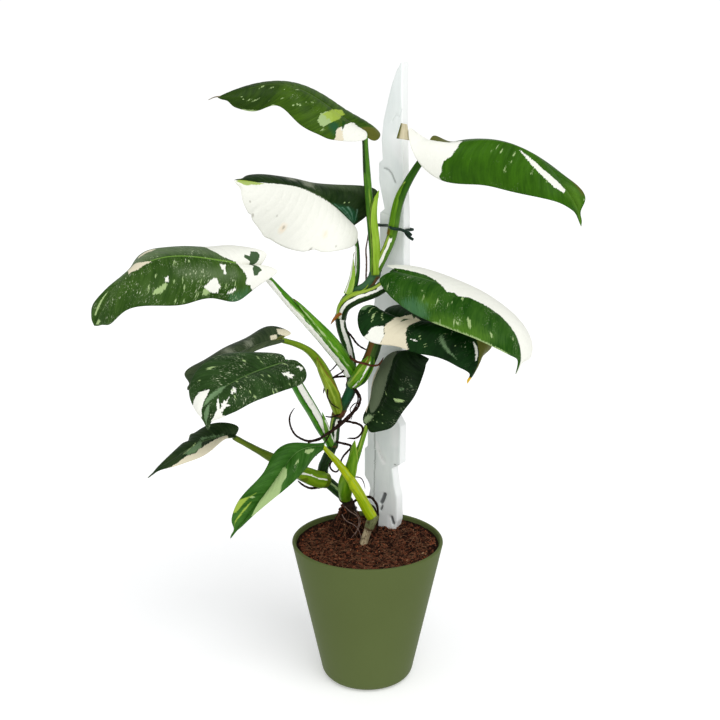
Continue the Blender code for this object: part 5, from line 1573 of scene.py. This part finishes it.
def studio():
    """White floor and surroundings under two broad soft lamps, from the right and from the left front."""
    signs = ((-1, -1), (1, -1), (1, 1), (-1, 1))
    corners = [(x * FLOOR_REACH, y * FLOOR_REACH, -FLOOR_DROP) for x, y in signs]
    floor_mesh = bpy.data.meshes.new("floor")
    floor_mesh.from_pydata(corners, [], [(0, 1, 2, 3)])
    floor = bpy.data.objects.new("floor", floor_mesh)
    bpy.context.scene.collection.objects.link(floor)
    made, _, shader = new_look("floor_white", 0.9, 0.0)
    shader.inputs["Base Color"].default_value = (FLOOR_SHADE, FLOOR_SHADE, FLOOR_SHADE, 1)
    shader.inputs["Emission Color"].default_value = (1, 1, 1, 1)
    shader.inputs["Emission Strength"].default_value = FLOOR_GLOW
    floor_mesh.materials.append(made)

    world = bpy.data.worlds.new("studio")
    world.use_nodes = True
    tree = world.node_tree
    shown = add(tree, "Background", Color=(1, 1, 1, 1), Strength=BACKDROP).outputs[0]
    ambient = tree.nodes["Background"]
    ambient.inputs["Color"].default_value = (0.97, 0.985, 1, 1)
    ambient.inputs["Strength"].default_value = AMBIENT
    pick = add(tree, "LightPath").outputs["Is Camera Ray"]
    both = add(tree, "MixShader", _0=pick, _1=ambient.outputs[0], _2=shown)
    tree.links.new(both.outputs[0], tree.nodes["World Output"].inputs["Surface"])
    bpy.context.scene.world = world

    for name, aside, height, power, spread in LAMPS:
        lamp = bpy.data.lights.new(name, "SUN")
        lamp.energy = power
        lamp.angle = math.radians(spread)
        light = bpy.data.objects.new(name, lamp)
        bpy.context.scene.collection.objects.link(light)
        light.rotation_euler = (math.radians(90 - height), 0, math.radians(aside))
    bpy.context.scene.view_settings.view_transform = "Standard"


def camera():
    """The photograph's view: level sideways and looking down from in front."""
    lens = bpy.data.cameras.new("camera")
    lens.lens = CAMERA_LENS
    lens.sensor_width = CAMERA_SENSOR
    view = bpy.data.objects.new("camera", lens)
    bpy.context.scene.collection.objects.link(view)
    view.location = [value * MM for value in CAMERA_PLACE]
    view.rotation_euler = (math.radians(90 - CAMERA_DOWN), 0, 0)
    bpy.context.scene.camera = view


camera()
studio()
pot()
soil()
bark = bark_look("bark_chip", tint(14, 7, 5), tint(112, 66, 46))
rust = bark_look("rust_chip", tint(74, 32, 18), tint(164, 92, 58))
pale = bark_look("pale_chip", tint(104, 72, 50), tint(198, 160, 122))
coir = bark_look("coir_fibre", tint(40, 24, 17), tint(140, 100, 74))
# Chips: name, how many, sizes (least, most, shares of them along three axes), look and seed, then flatness,
# rings and sides where they differ
chips("bark_chips", 1300, (0.5, 1.7, (1.4, 0.9, 0.6)), bark, 21)
chips("soil_crumbs", 3000, (0.35, 0.95, (1.2, 0.9, 0.7)), bark, 22, 0.3, 4, 6)
chips("rust_chips", 260, (0.4, 1.3, (1.5, 0.8, 0.5)), rust, 25)
chips("pale_chips", 110, (0.35, 0.9, (1.7, 0.6, 0.4)), pale, 23)
fibres("coir_fibres", 900, coir, 24)
board()
tie()
main_stem()
side_cane()
for place_name, shape in STALKS.items():
    stalk(place_name, shape)
for number, (place_name, shape) in enumerate(LEAVES.items()):
    leaf(place_name, shape, number)
roots()
tip_thread()
bract()
curled_lobe()
